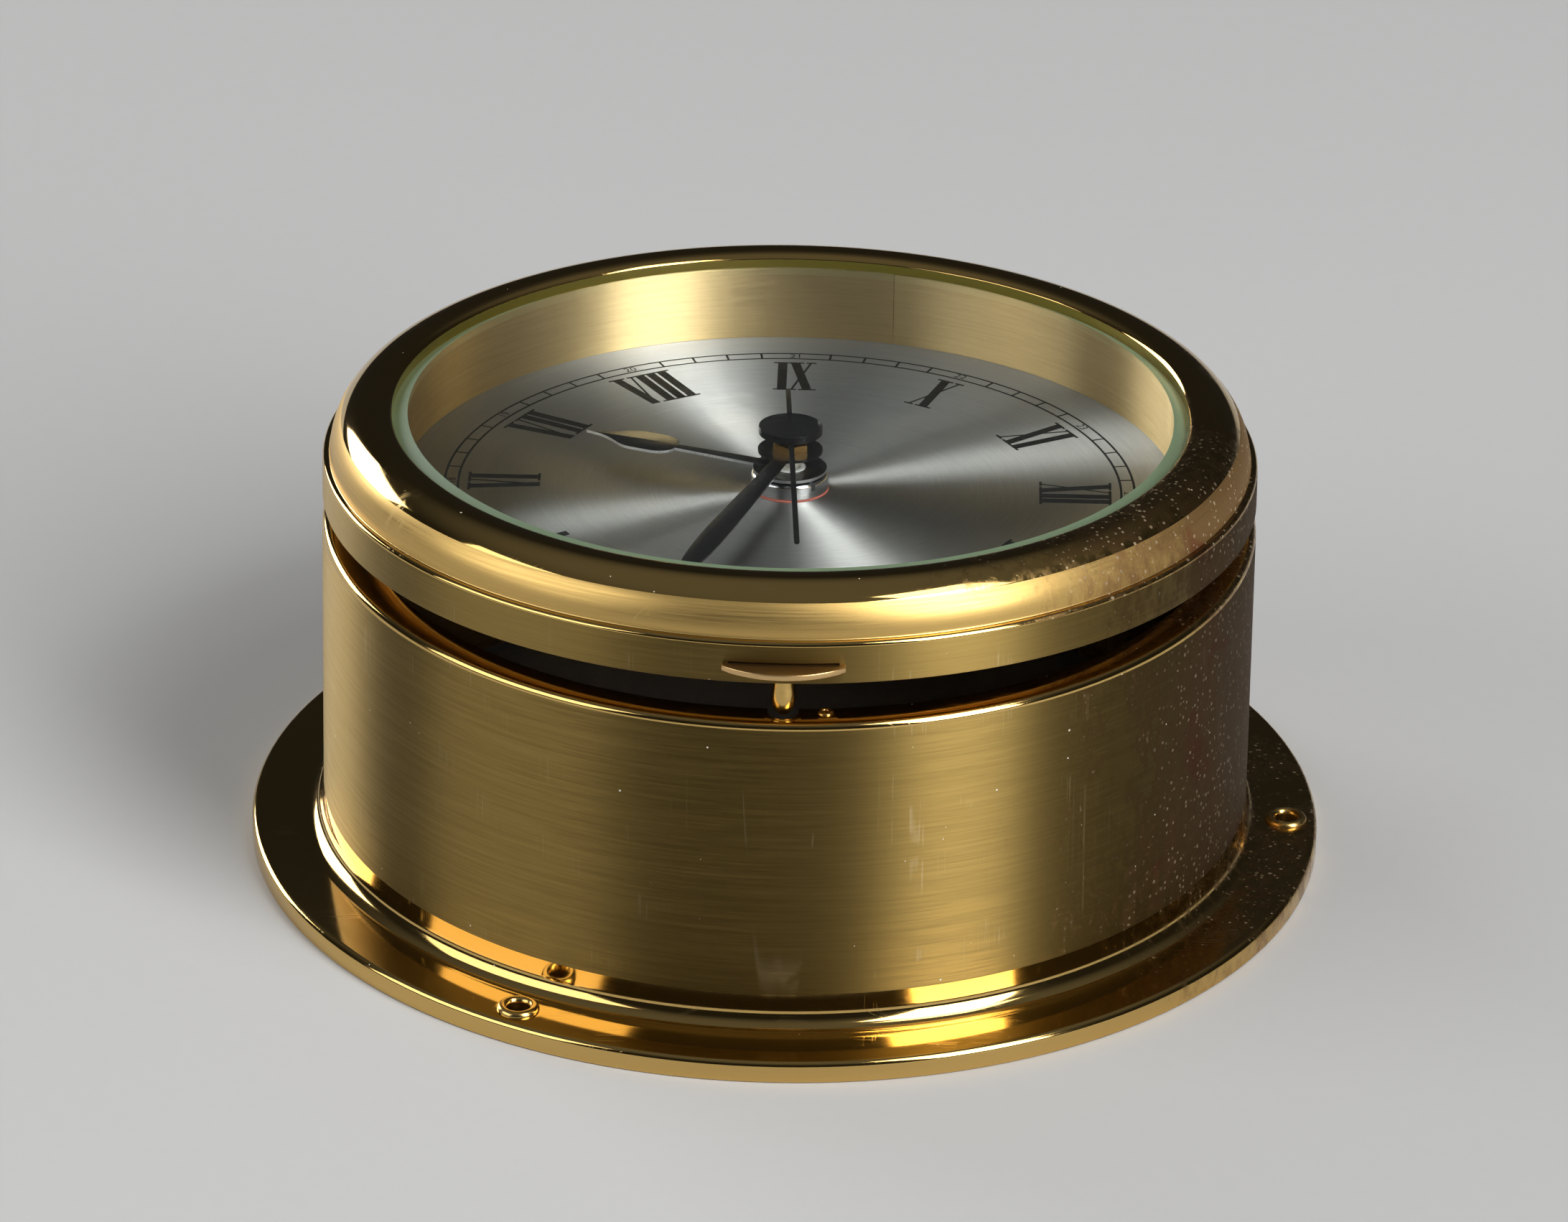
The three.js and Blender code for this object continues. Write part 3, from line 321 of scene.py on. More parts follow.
def cut(obj, tool, operation="DIFFERENCE"):
    """Cuts a tool out of a piece, and throws the tool away."""
    applied(obj, "BOOLEAN", operation=operation, object=tool, solver="EXACT")
    bpy.data.objects.remove(tool)
    return obj


def welded(obj, other):
    return cut(obj, other, "UNION")


def drilled(obj, radius, low, high, steps, x=0.0, y=0.0):
    """Cuts a round hole."""
    return cut(obj, shifted(rod("tool", radius, low, high, steps), x, y))


def joined(name, pieces):
    only(pieces[0])
    for piece in pieces:
        piece.select_set(True)
    bpy.ops.object.join()
    return named(name)


def copied(obj, matrix):
    """A copy of a piece, with a mesh of its own, moved to its place."""
    only(obj)
    bpy.ops.object.duplicate(linked=False)
    return moved(bpy.context.object, matrix)


def repeated(pattern, places):
    """Copies of a pattern, one at each place, in the pattern's stead."""
    pieces = [copied(pattern, place) for place in places]
    bpy.data.objects.remove(pattern)
    return pieces


def ellipse(x, y, width, height, start, end, steps):
    points = []
    for i in range(steps + 1):
        angle = math.radians(start + (end - start) * i / steps)
        points.append((x + width * math.cos(angle), y + height * math.sin(angle)))
    return points


def arc(x, y, radius, start, end, steps):
    return ellipse(x, y, radius, radius, start, end, steps)


def rounded_side(radius, bottom, top, round_off):
    """The outer side of a turned profile, with its two corners rounded."""
    middle = radius - round_off
    return [
        *arc(middle, bottom + round_off, round_off, 270, 360, 3),
        *arc(middle, top - round_off, round_off, 0, 90, 3),
    ]


def rod(name, radius, bottom, top, steps=24, round_off=0.0):
    """A turned pin, with rounded ends where asked."""
    side = [(radius, bottom), (radius, top)]
    if round_off:
        side = rounded_side(radius, bottom, top, round_off)
    return spun(name, [(0, bottom), *side, (0, top)], steps)


def out(point):
    """How far a point stands from the clock's axis, in millimetres."""
    return math.hypot(point.x, point.y) / MM


def finished(obj, body, slot, look, *nodes, second=(), placed=False):
    """Settles a piece: its finishes, place, body and the CAD nodes it stands for. Its slot is not
    used.

    Each second finish goes to the faces that its test picks out. What the front carries is
    modelled with the front shut, and is swung ajar here unless it is placed already.
    """
    if obj.type != "MESH" or not obj.data.polygons:
        raise RuntimeError(f"{obj.name} came out empty")
    obj.data.materials.clear()
    obj.data.materials.append(finish(look))
    for index, (other, wanted) in enumerate(second, 1):
        obj.data.materials.append(finish(other))
        for face in obj.data.polygons:
            if wanted(face):
                face.material_index = index
    if body != "case" and not placed:
        moved(obj, FRONT)
    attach(obj, body)
    if nodes:
        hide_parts(*nodes)


# Node helpers


def put(tree, socket, value):
    """Links a socket, or sets it."""
    if isinstance(value, bpy.types.NodeSocket):
        tree.links.new(value, socket)
    elif socket.type == "RGBA":
        socket.default_value = (*value, 1.0)[:4]
    else:
        socket.default_value = value


def feed(tree, node, **values):
    for key, value in values.items():
        put(tree, node.inputs[key.replace("_", " ")], value)


def add(tree, kind, *sources, settings=None, **values):
    """A node with its settings, and its inputs linked or set, by place and by name."""
    item = tree.nodes.new("ShaderNode" + kind)
    for key, value in (settings or {}).items():
        setattr(item, key, value)
    for socket, value in zip(item.inputs, sources):
        put(tree, socket, value)
    feed(tree, item, **values)
    return item


def maths(tree, operation, *sources, clamp=False):
    settings = {"operation": operation, "use_clamp": clamp}
    return add(tree, "Math", *sources, settings=settings).outputs[0]


def times(tree, first, second):
    return maths(tree, "MULTIPLY", first, second)


def summed(tree, value, *parts, clamp=False):
    """A value plus each mask times its weight."""
    for mask, weight in parts:
        value = maths(tree, "ADD", value, times(tree, mask, weight), clamp=clamp)
    return value


def vector(tree, operation, *sources, **values):
    return add(tree, "VectorMath", *sources, settings={"operation": operation}, **values).outputs


def noise(tree, place, scale, detail, roughness=0.5, distortion=0.0):
    """Smooth cloudy noise."""
    return add(
        tree, "TexNoise", Vector=place, Scale=scale, Detail=detail, Roughness=roughness,
        Distortion=distortion,
    ).outputs[0]


def span(tree, value, low, high, to_low=0.0, to_high=1.0):
    """Fits a value's span smoothly to another."""
    settings = {"interpolation_type": "SMOOTHSTEP"}
    return add(tree, "MapRange", value, low, high, to_low, to_high, settings=settings).outputs[0]


def blend(tree, factor, first, second):
    """Mixes two colours."""
    item = add(tree, "Mix", settings={"data_type": "RGBA"})
    for index, value in ((0, factor), (6, first), (7, second)):
        put(tree, item.inputs[index], value)
    return item.outputs[2]


def dimmed(tone, level):
    return [value * level for value in tone]


def effect(name, output, **inputs):
    """Turns a builder into a function that places its node group, which is built once."""

    def wrap(build):
        def grouped():
            tree = bpy.data.node_groups.new(name, "ShaderNodeTree")
            for socket, default in inputs.items():
                kind = "NodeSocketFloat" if isinstance(default, float) else "NodeSocketVector"
                made = tree.interface.new_socket(socket, in_out="INPUT", socket_type=kind)
                made.default_value = default
            tree.interface.new_socket(output, in_out="OUTPUT", socket_type="NodeSocketFloat")
            given = tree.nodes.new("NodeGroupInput").outputs
            leave = tree.nodes.new("NodeGroupOutput")
            tree.links.new(build(tree, given), leave.inputs[output])
            return tree

        def placed(tree, place, **values):
            item = tree.nodes.new("ShaderNodeGroup")
            item.node_tree = bpy.data.node_groups.get(name) or grouped()
            feed(tree, item, Vector=place, **values)
            return item.outputs[0]

        return placed

    return wrap


ORIGIN = (0.0, 0.0, 0.0)
TOWARDS_XII = (0.09, 1.0, 0.0)


@effect("Turned grain", "Grain", Vector=ORIGIN, Along=6.0, Across=3000.0)
def turned_grain(tree, given):
    """Lathe brushing round the Z axis, on walls and on flats alike."""
    x, y, z = add(tree, "SeparateXYZ", given["Vector"]).outputs
    level = add(tree, "CombineXYZ", x, y, 0.0).outputs[0]
    radius = vector(tree, "LENGTH", level)["Value"]
    round_way = vector(tree, "NORMALIZE", level)[0]
    around = vector(tree, "SCALE", round_way, Scale=given["Along"])[0]
    outward = times(tree, radius, given["Across"])
    offset = add(tree, "CombineXYZ", 0.0, 0.0, outward).outputs[0]
    place = vector(tree, "ADD", around, offset)[0]
    return add(
        tree, "TexNoise", settings={"noise_dimensions": "4D"}, Vector=place,
        W=times(tree, z, given["Across"]), Scale=1.0, Detail=4.0, Roughness=0.65,
    ).outputs[0]


@effect("Dust specks", "Mask", Vector=ORIGIN, Scale=800.0, Amount=0.1)
def specks(tree, given):
    """Grains of dust, each a small dot of its own size."""
    cells = add(
        tree, "TexVoronoi", settings={"feature": "F1"}, Vector=given["Vector"],
        Scale=given["Scale"], Randomness=1.0,
    ).outputs
    lot = add(tree, "SeparateColor", cells["Color"]).outputs[0]
    chosen = maths(tree, "SUBTRACT", lot, maths(tree, "SUBTRACT", 1.0, given["Amount"]))
    size = maths(tree, "MULTIPLY", chosen, 0.9, clamp=True)
    return span(tree, maths(tree, "SUBTRACT", size, cells["Distance"]), 0.0, 0.04)


@effect("Brown film", "Mask", Vector=ORIGIN, Scale=60.0, Amount=0.5, Side=TOWARDS_XII)
def brown_film(tree, given):
    """Mottled brown film, densest towards one side of the clock."""
    drawn = add(
        tree, "Mapping", given["Vector"], Rotation=(0.0, 0.3, 0.2), Scale=(1.0, 1.0, 0.45)
    ).outputs[0]
    large = noise(tree, drawn, given["Scale"], 7.0, 0.66, 0.2)
    fine = noise(tree, drawn, 520.0, 3.0, 0.7)
    level = vector(tree, "MULTIPLY", given["Vector"], (1.0, 1.0, 0.0))[0]
    way = vector(tree, "NORMALIZE", level)[0]
    facing = vector(tree, "DOT_PRODUCT", way, given["Side"])["Value"]
    total = summed(tree, large, (maths(tree, "SUBTRACT", facing, 0.7), 1.2))
    total = maths(tree, "ADD", total, maths(tree, "SUBTRACT", given["Amount"], 0.5))
    total = maths(tree, "ADD", total, span(tree, fine, 0.3, 0.7, -0.12, 0.12))
    return span(tree, total, 0.44, 0.86)


@effect("Fine scratches", "Mask", Vector=ORIGIN, Scale=900.0)
def scratches(tree, given):
    """Short random scratches, thin lines where stretched noise crosses its middle."""
    marks = []
    for turn, offset in ((0.5, 0.0), (1.9, 0.3), (2.7, 0.7)):
        place = add(
            tree, "Mapping", given["Vector"], Location=(offset, offset * 2, offset),
            Rotation=(turn, turn * 0.7, turn * 1.3), Scale=(1.0, 0.004, 0.004),
        ).outputs[0]
        away = maths(tree, "SUBTRACT", noise(tree, place, given["Scale"], 1.0), 0.5)
        marks.append(span(tree, maths(tree, "ABSOLUTE", away), 0.0, 0.006, 1.0, 0.0))
    here = span(tree, noise(tree, given["Vector"], 110.0, 2.0), 0.56, 0.66)
    both = maths(tree, "MAXIMUM", maths(tree, "MAXIMUM", marks[0], marks[1]), marks[2])
    return times(tree, both, here)


# Materials


MATERIALS = {}


def start_material(name, front=False):
    """A new material's nodes, its shader, and coordinates in which the front lies shut."""
    material = MATERIALS[name] = bpy.data.materials.new(name)
    material.use_nodes = True
    tree = material.node_tree
    place = add(tree, "TexCoord").outputs["Object"]
    if front:
        shift = HINGE - Matrix.Rotation(-AJAR, 4, "Y") @ HINGE
        place = add(
            tree, "Mapping", place, settings={"vector_type": "TEXTURE"}, Location=shift,
            Rotation=(0.0, -AJAR, 0.0),
        ).outputs[0]
    return tree, tree.nodes["Principled BSDF"], place


def bump(tree, shader, height, strength, reach):
    item = add(tree, "Bump", Strength=strength, Distance=reach, Height=height)
    feed(tree, shader, Normal=item.outputs[0])


def radial_tangent(tree, shader):
    """Stretches highlights across the turned grain."""
    tangent = add(tree, "Tangent", settings={"direction_type": "RADIAL", "axis": "Z"})
    feed(tree, shader, Tangent=tangent.outputs[0], Anisotropic_Rotation=0.25)


def brass(name, rough, brushed=0.4, along=3.0, stretched=0.0, filmed=0.3, dusted=0.08,
          front=False, base=None, side=TOWARDS_XII):
    """Brass with turned grain, brown film, dust and fine scratches."""
    tree, shader, place = start_material(name, front)
    look = finishes()
    grain = turned_grain(tree, place, Along=along, Across=3200.0)
    mottle = brown_film(tree, place, Scale=55.0, Amount=filmed, Side=side)
    dust = specks(tree, place, Scale=560.0, Amount=dusted * 0.7)
    marks = scratches(tree, place, Scale=900.0)
    pits = times(tree, specks(tree, place, Scale=1250.0, Amount=0.5), mottle)
    stain = times(tree, span(tree, noise(tree, place, 95.0, 3.0), 0.58, 0.72), mottle)
    clean = base or look.brass
    tone = blend(tree, span(tree, grain, 0.3, 0.7, 0.0, brushed), clean, dimmed(clean, 0.82))
    for mask, weight, paint in (
        (mottle, look.tarnish_share, look.tarnish),
        (stain, 0.55, RUST),
        (pits, 0.7, PITTED),
        (marks, 0.22, SCRATCHED),
        (dust, 0.85, DUSTY),
    ):
        tone = blend(tree, times(tree, mask, weight), tone, paint)
    uneven = span(tree, grain, 0.25, 0.75, rough * 0.85, rough * 1.2)
    uneven = summed(
        tree, uneven, (mottle, 0.26), (dust, 0.4), (pits, 0.3), (marks, 0.15), clamp=True
    )
    metal = summed(tree, 1.0, (dust, -0.8))
    feed(tree, shader, Base_Color=tone, Roughness=uneven, Metallic=metal, Anisotropic=stretched)
    if stretched:
        radial_tangent(tree, shader)
    height = times(tree, grain, brushed)
    height = summed(tree, height, (marks, -0.4), (dust, 0.8), (pits, -0.6))
    bump(tree, shader, height, 0.12, 0.00006)


def plain(name, tone, rough, metallic=0.0, grain=900.0, depth=0.05, front=True, worn=None,
          gloss=0.5):
    """A moulded, plated or lacquered surface with fine unevenness and a little dust."""
    tree, shader, place = start_material(name, front)
    fine = noise(tree, place, grain, 4.0, 0.6)
    dust = specks(tree, place, Scale=1100.0, Amount=0.06)
    base = blend(tree, span(tree, fine, 0.35, 0.75, 0.0, 0.6), tone, worn or dimmed(tone, 0.8))
    base = blend(tree, times(tree, dust, 0.35), base, LIGHT_DUST)
    uneven = span(tree, fine, 0.3, 0.7, rough * 0.8, rough * 1.25)
    feed(tree, shader, Base_Color=base, Metallic=metallic, Roughness=uneven)
    feed(tree, shader, Specular_IOR_Level=gloss)
    bump(tree, shader, fine, depth, 0.0001)


def silvered_dial():
    """Silvered plate with fine concentric brushing, which throws a fan of light."""
    tree, shader, place = start_material("silvered_dial", True)
    tone = finishes().silver
    grain = turned_grain(tree, place, Along=5.0, Across=5200.0)
    broad = turned_grain(tree, place, Along=2.2, Across=700.0)
    patches = noise(tree, place, 28.0, 3.0)
    base = blend(tree, span(tree, grain, 0.3, 0.7), tone, dimmed(tone, 0.86))
    base = blend(tree, span(tree, patches, 0.45, 0.75, 0.0, 0.25), base, YELLOWED)
    uneven = span(tree, broad, 0.2, 0.8, 0.46, 0.55)
    feed(tree, shader, Base_Color=base, Metallic=1.0, Anisotropic=0.99, Roughness=uneven)
    radial_tangent(tree, shader)
    bump(tree, shader, grain, 0.06, 0.00003)


def glazing(name, rough, tone, passing=1.0):
    """Glass that lets lamp light through, with the shader's own gloss."""
    tree, shader, place = start_material(name, True)
    smear = span(tree, noise(tree, place, 40.0, 4.0), 0.4, 0.8, rough, rough + 0.015)
    feed(tree, shader, Base_Color=tone, Transmission_Weight=passing, IOR=1.5, Roughness=smear)
    through = add(tree, "BsdfTransparent", Color=tone).outputs[0]
    path = add(tree, "LightPath").outputs["Is Shadow Ray"]
    mixed = add(tree, "MixShader", path, shader.outputs[0], through).outputs[0]
    feed(tree, tree.nodes["Material Output"], Surface=mixed)


def make_finishes():
    """Makes every finish of the clock."""
    look = finishes()
    film, dust, brush = look.tarnish_share, look.dust_share, look.brushing
    # The satin case wall and bezel skirt take the darkened satin brass: brushed brass with painted
    # shade in its colour
    brass("shaded_satin_case", 0.5, brush, along=5.0, stretched=1.0, filmed=0.3 + film * 0.25,
          dusted=dust * 0.4, base=look.shaded_satin_brass)
    brass("polished_case", 0.08, brush * 0.12, along=2.5, filmed=0.2 + film * 0.2,
          dusted=dust * 0.3)
    brass("inside_case", 0.42, brush, along=4.0, filmed=0.75, dusted=0.05,
          base=(0.62, 0.43, 0.19))
    brass("polished_bezel", 0.06, brush * 0.08, along=2.0, filmed=0.2 + film * 0.2,
          dusted=dust * 0.4, front=True, side=(0.5, 0.86, 0.0))
    brass("shaded_satin_bezel", 0.45, brush, along=5.0, stretched=0.94, filmed=0.25 + film * 0.2,
          dusted=dust * 0.3, front=True, base=look.shaded_satin_brass)
    brass("inner_ring", 0.46, brush * 0.8, along=6.0, stretched=1.0, filmed=0.0, dusted=0.04,
          front=True, base=look.inner_brass)
    brass("pan_brass", 0.38, brush, along=4.0, filmed=0.55, dusted=0.06, front=True)
    brass("fitting_brass", 0.2)
    brass("front_fitting", 0.22, front=True)
    brass("tab_brass", 0.3, 0.5, filmed=0.55, dusted=0.1, front=True, base=(0.66, 0.44, 0.20))
    silvered_dial()
    glazing("clear_glass", 0.0, (0.97, 0.985, 0.975))
    glazing("ground_glass", 0.5, look.ground_glass, 0.45)
    plain("lacquer", look.lacquer, 0.2, depth=0.02, gloss=0.25)
    plain("print", look.lacquer, 0.6, grain=2500.0, depth=0.01, gloss=0.1)
    plain("sheared_edge", (0.55, 0.55, 0.56), 0.4, 1.0, grain=5200.0, depth=0.5,
          worn=(0.05, 0.05, 0.05))
    plain("chrome", look.chrome, 0.12, 1.0, grain=700.0, depth=0.02)
    plain("dull_brass", (0.46, 0.27, 0.09), 0.3, 1.0)
    plain("satin_nickel", (0.88, 0.86, 0.78), 0.5, 1.0)
    plain("fibre", look.fibre, 0.7, grain=3000.0, depth=0.3)
    plain("black_plastic", look.black_plastic, 0.42, grain=2600.0, depth=0.12)
    plain("white_plastic", (0.82, 0.82, 0.80), 0.4, grain=1800.0)
    plain("spring_steel", (0.52, 0.52, 0.53), 0.3, 1.0, grain=1200.0, front=False,
          worn=(0.32, 0.29, 0.25))
    plain("copper_winding", (0.62, 0.25, 0.12), 0.35, 1.0, grain=3000.0, depth=0.3)
    plain("board", (0.05, 0.16, 0.07), 0.5, grain=1500.0, depth=0.1)
    plain("cell", (0.10, 0.10, 0.11), 0.3, 0.4, grain=600.0, depth=0.02)


def finish(name):
    if name not in MATERIALS:
        make_finishes()
    return MATERIALS[name]


# The case


class CLOCK_OT_case(bpy.types.Operator):
    """Spin the case from one sheet, with its flange, holes, notch and bead"""

    bl_idname = "clock.case"
    bl_label = "Case body"

    def execute(self, context):
        size = sizes()
        wall, foot, top = in_mm(size.body_radius, size.flange_radius, size.case_height)
        sheet, bend, bend_height, bead, mouth = 1.6, 3.2, 7.0, 1.2, 71.9
        profile = [
            (foot - sheet, 0.0), (foot - 0.25, 0.0), (foot, 0.25),
            *arc(foot - 1.1, 2.7, 1.1, 0, 90, 6),
            *arc(wall + bend, bend_height, bend, 270, 180, 10),
            (wall, 9.7), (wall, 20.0), (wall, 35.0), (wall, 50.0),
            *arc(wall - bead, top - bead, bead, 0, 90, 7),
            *arc(mouth + 0.25, top - 0.25, 0.25, 90, 180, 2),
            (mouth, top - bead), (wall - sheet, top - bead), (wall - sheet, 30.0),
            *arc(wall + bend, bend_height, bend + sheet, 180, 270, 8),
            (foot - sheet, 2.2),
        ]
        body = spun("case_body", profile)
        eyelet_hole, notch, rivet_hole = 2.75, 2.5, 1.05
        for angle in EYELETS.values():
            drilled(body, eyelet_hole, -1, 5, 32, *polar(EYELET_CIRCLE, angle))
        under, over = top - 2.2, top + 1
        drilled(body, notch, under, over, 40, NOTCH_CIRCLE)
        cut(body, bar("tool", (68, -notch, under), (NOTCH_CIRCLE, notch, over)))
        drilled(body, rivet_hole, under, over, 24, *polar(*CATCH_RIVET))
        smooth(body, 30)

        def is_polished(face):
            height = face.center.z / MM
            return height < 9.6 or height > top - 1.25 and out(face.center) > mouth + 0.05

        def is_inside(face):
            inward = face.normal.x * face.center.x + face.normal.y * face.center.y < 0
            height = face.center.z / MM
            within = out(face.center) < wall - 1.5
            below = face.normal.z < -0.3 and height < top - 1
            return below or (within and inward and height < top - 1.1)

        second = (("polished_case", is_polished), ("inside_case", is_inside))
        finished(body, "case", "case_brass", "shaded_satin_case", "case_body", second=second)
        return {"FINISHED"}


class CLOCK_OT_eyelets(bpy.types.Operator):
    """Roll the three screw eyelets over the flange"""

    bl_idname = "clock.eyelets"
    bl_label = "Screw eyelets"

    def execute(self, context):
        barrel, bore, flange, under, over = 2.45, 1.85, 3.1, 1.4, 2.2
        profile = [
            (barrel, over), (barrel, 3.8), *ellipse(2.675, 3.8, 0.825, 0.9, 0, 180, 12),
            (bore, under), (flange, under), (flange, over),
        ]
        places = [at(*polar(EYELET_CIRCLE, angle)) for angle in EYELETS.values()]
        for name, eyelet in zip(EYELETS, repeated(spun("eyelet", profile, 48), places)):
            eyelet.name = name + "_rolled"
            finished(eyelet, "case", "polished_brass", "fitting_brass", name)
        return {"FINISHED"}


class CLOCK_OT_hinge(bpy.types.Operator):
    """Make the hinge's leaves, knuckles, pin and rivets"""

    bl_idname = "clock.hinge"
    bl_label = "Hinge"

    back = -79.6
    half = 12
    barrel = 2.2
    bore = 1.0

    def leaf(self, name, side, seat, height, spans):
        """A leaf above or below the pin, hollowed to the radius of its seat."""
        near = HINGE_Z + side * 2.45
        low, high = sorted((near, near + side * height))
        corners = (self.back, -self.half, low), (-73.6, self.half, high)
        leaf = bevelled(bar("leaf", *corners), 0.5, 3)
        web_low, web_high = sorted((HINGE_Z, near + side * 0.5))
        for start, end in spans:
            knuckle = turned(rod("barrel", self.barrel, 0, end - start, 40, 0.25), -90, "X")
            shifted(knuckle, HINGE_X, start, HINGE_Z)
            web = bar("web", (-81.2, start + 0.05, web_low), (-78.15, end - 0.05, web_high))
            welded(leaf, welded(knuckle, web))
        drilled(leaf, seat + 0.3, 0, 90, 160)
        bore = turned(rod("tool", self.bore, -1, 25, 32), -90, "X")
        cut(leaf, shifted(bore, HINGE_X, -self.half, HINGE_Z))
        leaf.name = name
        return smooth(leaf, 30)

    def rivet(self):
        """A rivet whose head stands on the plane of the leaves' backs."""
        head, crown, shank, depth = 1.5, 0.8, 0.8, -2.0
        profile = [
            (0, crown), *ellipse(0, 0, head, crown, 90, 0, 8)[1:],
            (shank, 0), (shank, depth), (0, depth),
        ]
        return shifted(turned(spun("rivet", profile, 32), -90, "Y"), self.back)

    def pin(self):
        pin = rod("pin", 0.9, -12.0, 12.0, 32)
        for bottom in (-12.8, 12.0):
            welded(pin, shifted(rod("cap", 1.5, 0, 0.8, 32, 0.3), z=bottom))
        pin.name = "hinge_pin_turned"
        return smooth(shifted(turned(pin, -90, "X"), HINGE_X, 0, HINGE_Z))

    def execute(self, context):
        wall, skirt = in_mm(sizes().body_radius, sizes().bezel_radius)
        leaf = self.leaf("hinge_leaf_lower", -1, wall, 7.0, [(-12, -4.15), (4.15, 12)])
        finished(leaf, "case", "dull_brass", "fitting_brass", "hinge_leaf_case")
        leaf = self.leaf("hinge_leaf_upper", 1, skirt, 4.4, [(-3.85, 3.85)])
        finished(leaf, "front", "dull_brass", "front_fitting", "hinge_leaf_bezel")
        finished(self.pin(), "case", "polished_brass", "fitting_brass", "hinge_pin")
        rows = (
            ("lower", 53.2, "case", "fitting_brass", "hinge_rivet_case_"),
            ("upper", 63.8, "front", "front_fitting", "hinge_rivet_bezel_"),
        )
        pattern = self.rivet()
        for index, y in (("1", -7.0), ("2", 7.0)):
            for row, z, body, look, node in rows:
                rivet = copied(pattern, at(0, y, z))
                rivet.name = f"hinge_rivet_{row}_{index}"
                finished(rivet, body, "polished_brass", look, node + index)
        bpy.data.objects.remove(pattern)
        return {"FINISHED"}


class CLOCK_OT_catch(bpy.types.Operator):
    """Make the catch spring, its tubular rivet and the snap stud"""

    bl_idname = "clock.catch"
    bl_label = "Catch"

    def spring(self):
        """A strip with a slot that the stud clicks into."""
        start, end, steps, slot = -3.5, 7.5, 16, 2.3
        outline = [*arc(0, 0, 75.9, start, end, steps), *arc(0, 0, 71.4, end, start, steps)]
        spring = flat("catch_spring_leaf", outline, 57.1, 0.5)
        drilled(spring, slot, 56, 59, 32, NOTCH_CIRCLE)
        cut(spring, bar("tool", (68, -slot, 56), (NOTCH_CIRCLE, slot, 59)))
        return bevelled(spring, 0.08)

    def rivet(self):
        bore, shank, head = 0.5, 1.0, 1.35
        profile = [
            (bore, 56.7), (head, 56.7), (head, 57.1), (shank, 57.1), (shank, 58.8), (head, 58.8),
            *ellipse(0.95, 58.85, 0.4, 0.3, 0, 90, 5), *ellipse(0.8, 58.9, 0.3, 0.25, 90, 180, 4),
        ]
        return shifted(spun("catch_rivet_tubular", profile, 40), *polar(*CATCH_RIVET))

    def stud(self):
        belly, waist, neck, tip = sizes().stud_radius / MM, 1.75, 1.2, 52.3
        profile = [
            (0, tip), *arc(0.65, tip + 0.35, 0.35, 270, 320, 3),
            (1.25, tip + 0.45), (1.6, tip + 1.0), (1.87, tip + 1.8), (belly, tip + 2.8),
            (1.93, tip + 3.7), (1.8, tip + 4.6), (waist, tip + 5.2), (waist, PAN_FLANGE),
            (neck, PAN_FLANGE), (neck, PAN_FLANGE_TOP), (2.0, PAN_FLANGE_TOP),
            (1.7, PAN_FLANGE_TOP + 0.5), (0, PAN_FLANGE_TOP + 0.6),
        ]
        return shifted(spun("snap_stud_turned", profile, 48), STUD_CIRCLE)

    def execute(self, context):
        finished(self.spring(), "case", "spring_steel", "spring_steel", "catch_spring")
        finished(self.rivet(), "case", "polished_brass", "fitting_brass", "catch_rivet")
        finished(self.stud(), "front", "dull_brass", "front_fitting", "snap_stud")
        return {"FINISHED"}


# The front


POST_PLACES = [about(angle) @ at(POST_CIRCLE) for angle in (45, 135, 225, 315)]


class CLOCK_OT_bezel(bpy.types.Operator):
    """Spin the bezel with its skirt, shoulder, domed rim and four screw posts"""

    bl_idname = "clock.bezel"
    bl_label = "Bezel"

    def execute(self, context):
        edge, lip = in_mm(sizes().bezel_radius, sizes().lip_radius)
        dome, width, height = edge - 8.1, 6.9, 8.1
        sheet, break_edge, roll = 1.2, 0.15, 0.35
        profile = [
            (edge - sheet, SKIRT_BOTTOM), (edge - break_edge, SKIRT_BOTTOM),
            (edge, SKIRT_BOTTOM + break_edge), (edge, SKIRT_BOTTOM + 3.0), (edge, SHOULDER - 0.7),
            *arc(edge - 0.7, SHOULDER - 0.7, 0.7, 0, 82, 6)[1:],
            *arc(edge - 0.85, SHOULDER + 0.32, 0.33, 265, 185, 4),
            *ellipse(dome, SHOULDER, width, height, 4, 90, 26),
            *ellipse(dome, LIP_TOP - 0.1, dome - lip - roll, 0.6, 96, 172, 7),
            *arc(lip + roll, LIP_TOP - 0.45, roll, 150, 180, 3),
            (lip, GLASS_SEAT), (67.5, GLASS_SEAT),
            *ellipse(dome, SHOULDER, width - sheet, height - sheet, 90, 0, 12),
            (edge - sheet, SHOULDER - sheet),
        ]
        bezel = spun("bezel_spun", profile)
        cut(bezel, bar("tool", (edge - 4, -8.9, 61.5), (edge + 2, 8.9, 63.1)))
        bore, barrel, depth = 1.2, 2.2, 65.2
        post = [
            (bore, PAN_FLANGE_TOP), (barrel - 0.25, PAN_FLANGE_TOP),
            (barrel, PAN_FLANGE_TOP + 0.25), (barrel, 71.6), (0, 72.6), (0, depth), (bore, depth),
        ]
        posts = repeated(spun("post", post, 32), POST_PLACES)
        bezel = smooth(joined("bezel_spun", [bezel, *posts]), 30)

        def is_satin(face):
            height = face.center.z / MM
            return SKIRT_BOTTOM < height < SHOULDER - 0.72 and out(face.center) > edge - 0.3

        def is_inner(face):
            return out(face.center) < edge - 1.1 and face.center.z / MM < GLASS_SEAT + 0.05

        second = (("shaded_satin_bezel", is_satin), ("pan_brass", is_inner))
        finished(bezel, "front", "polished_brass", "polished_bezel", "bezel_ring", second=second)
        return {"FINISHED"}


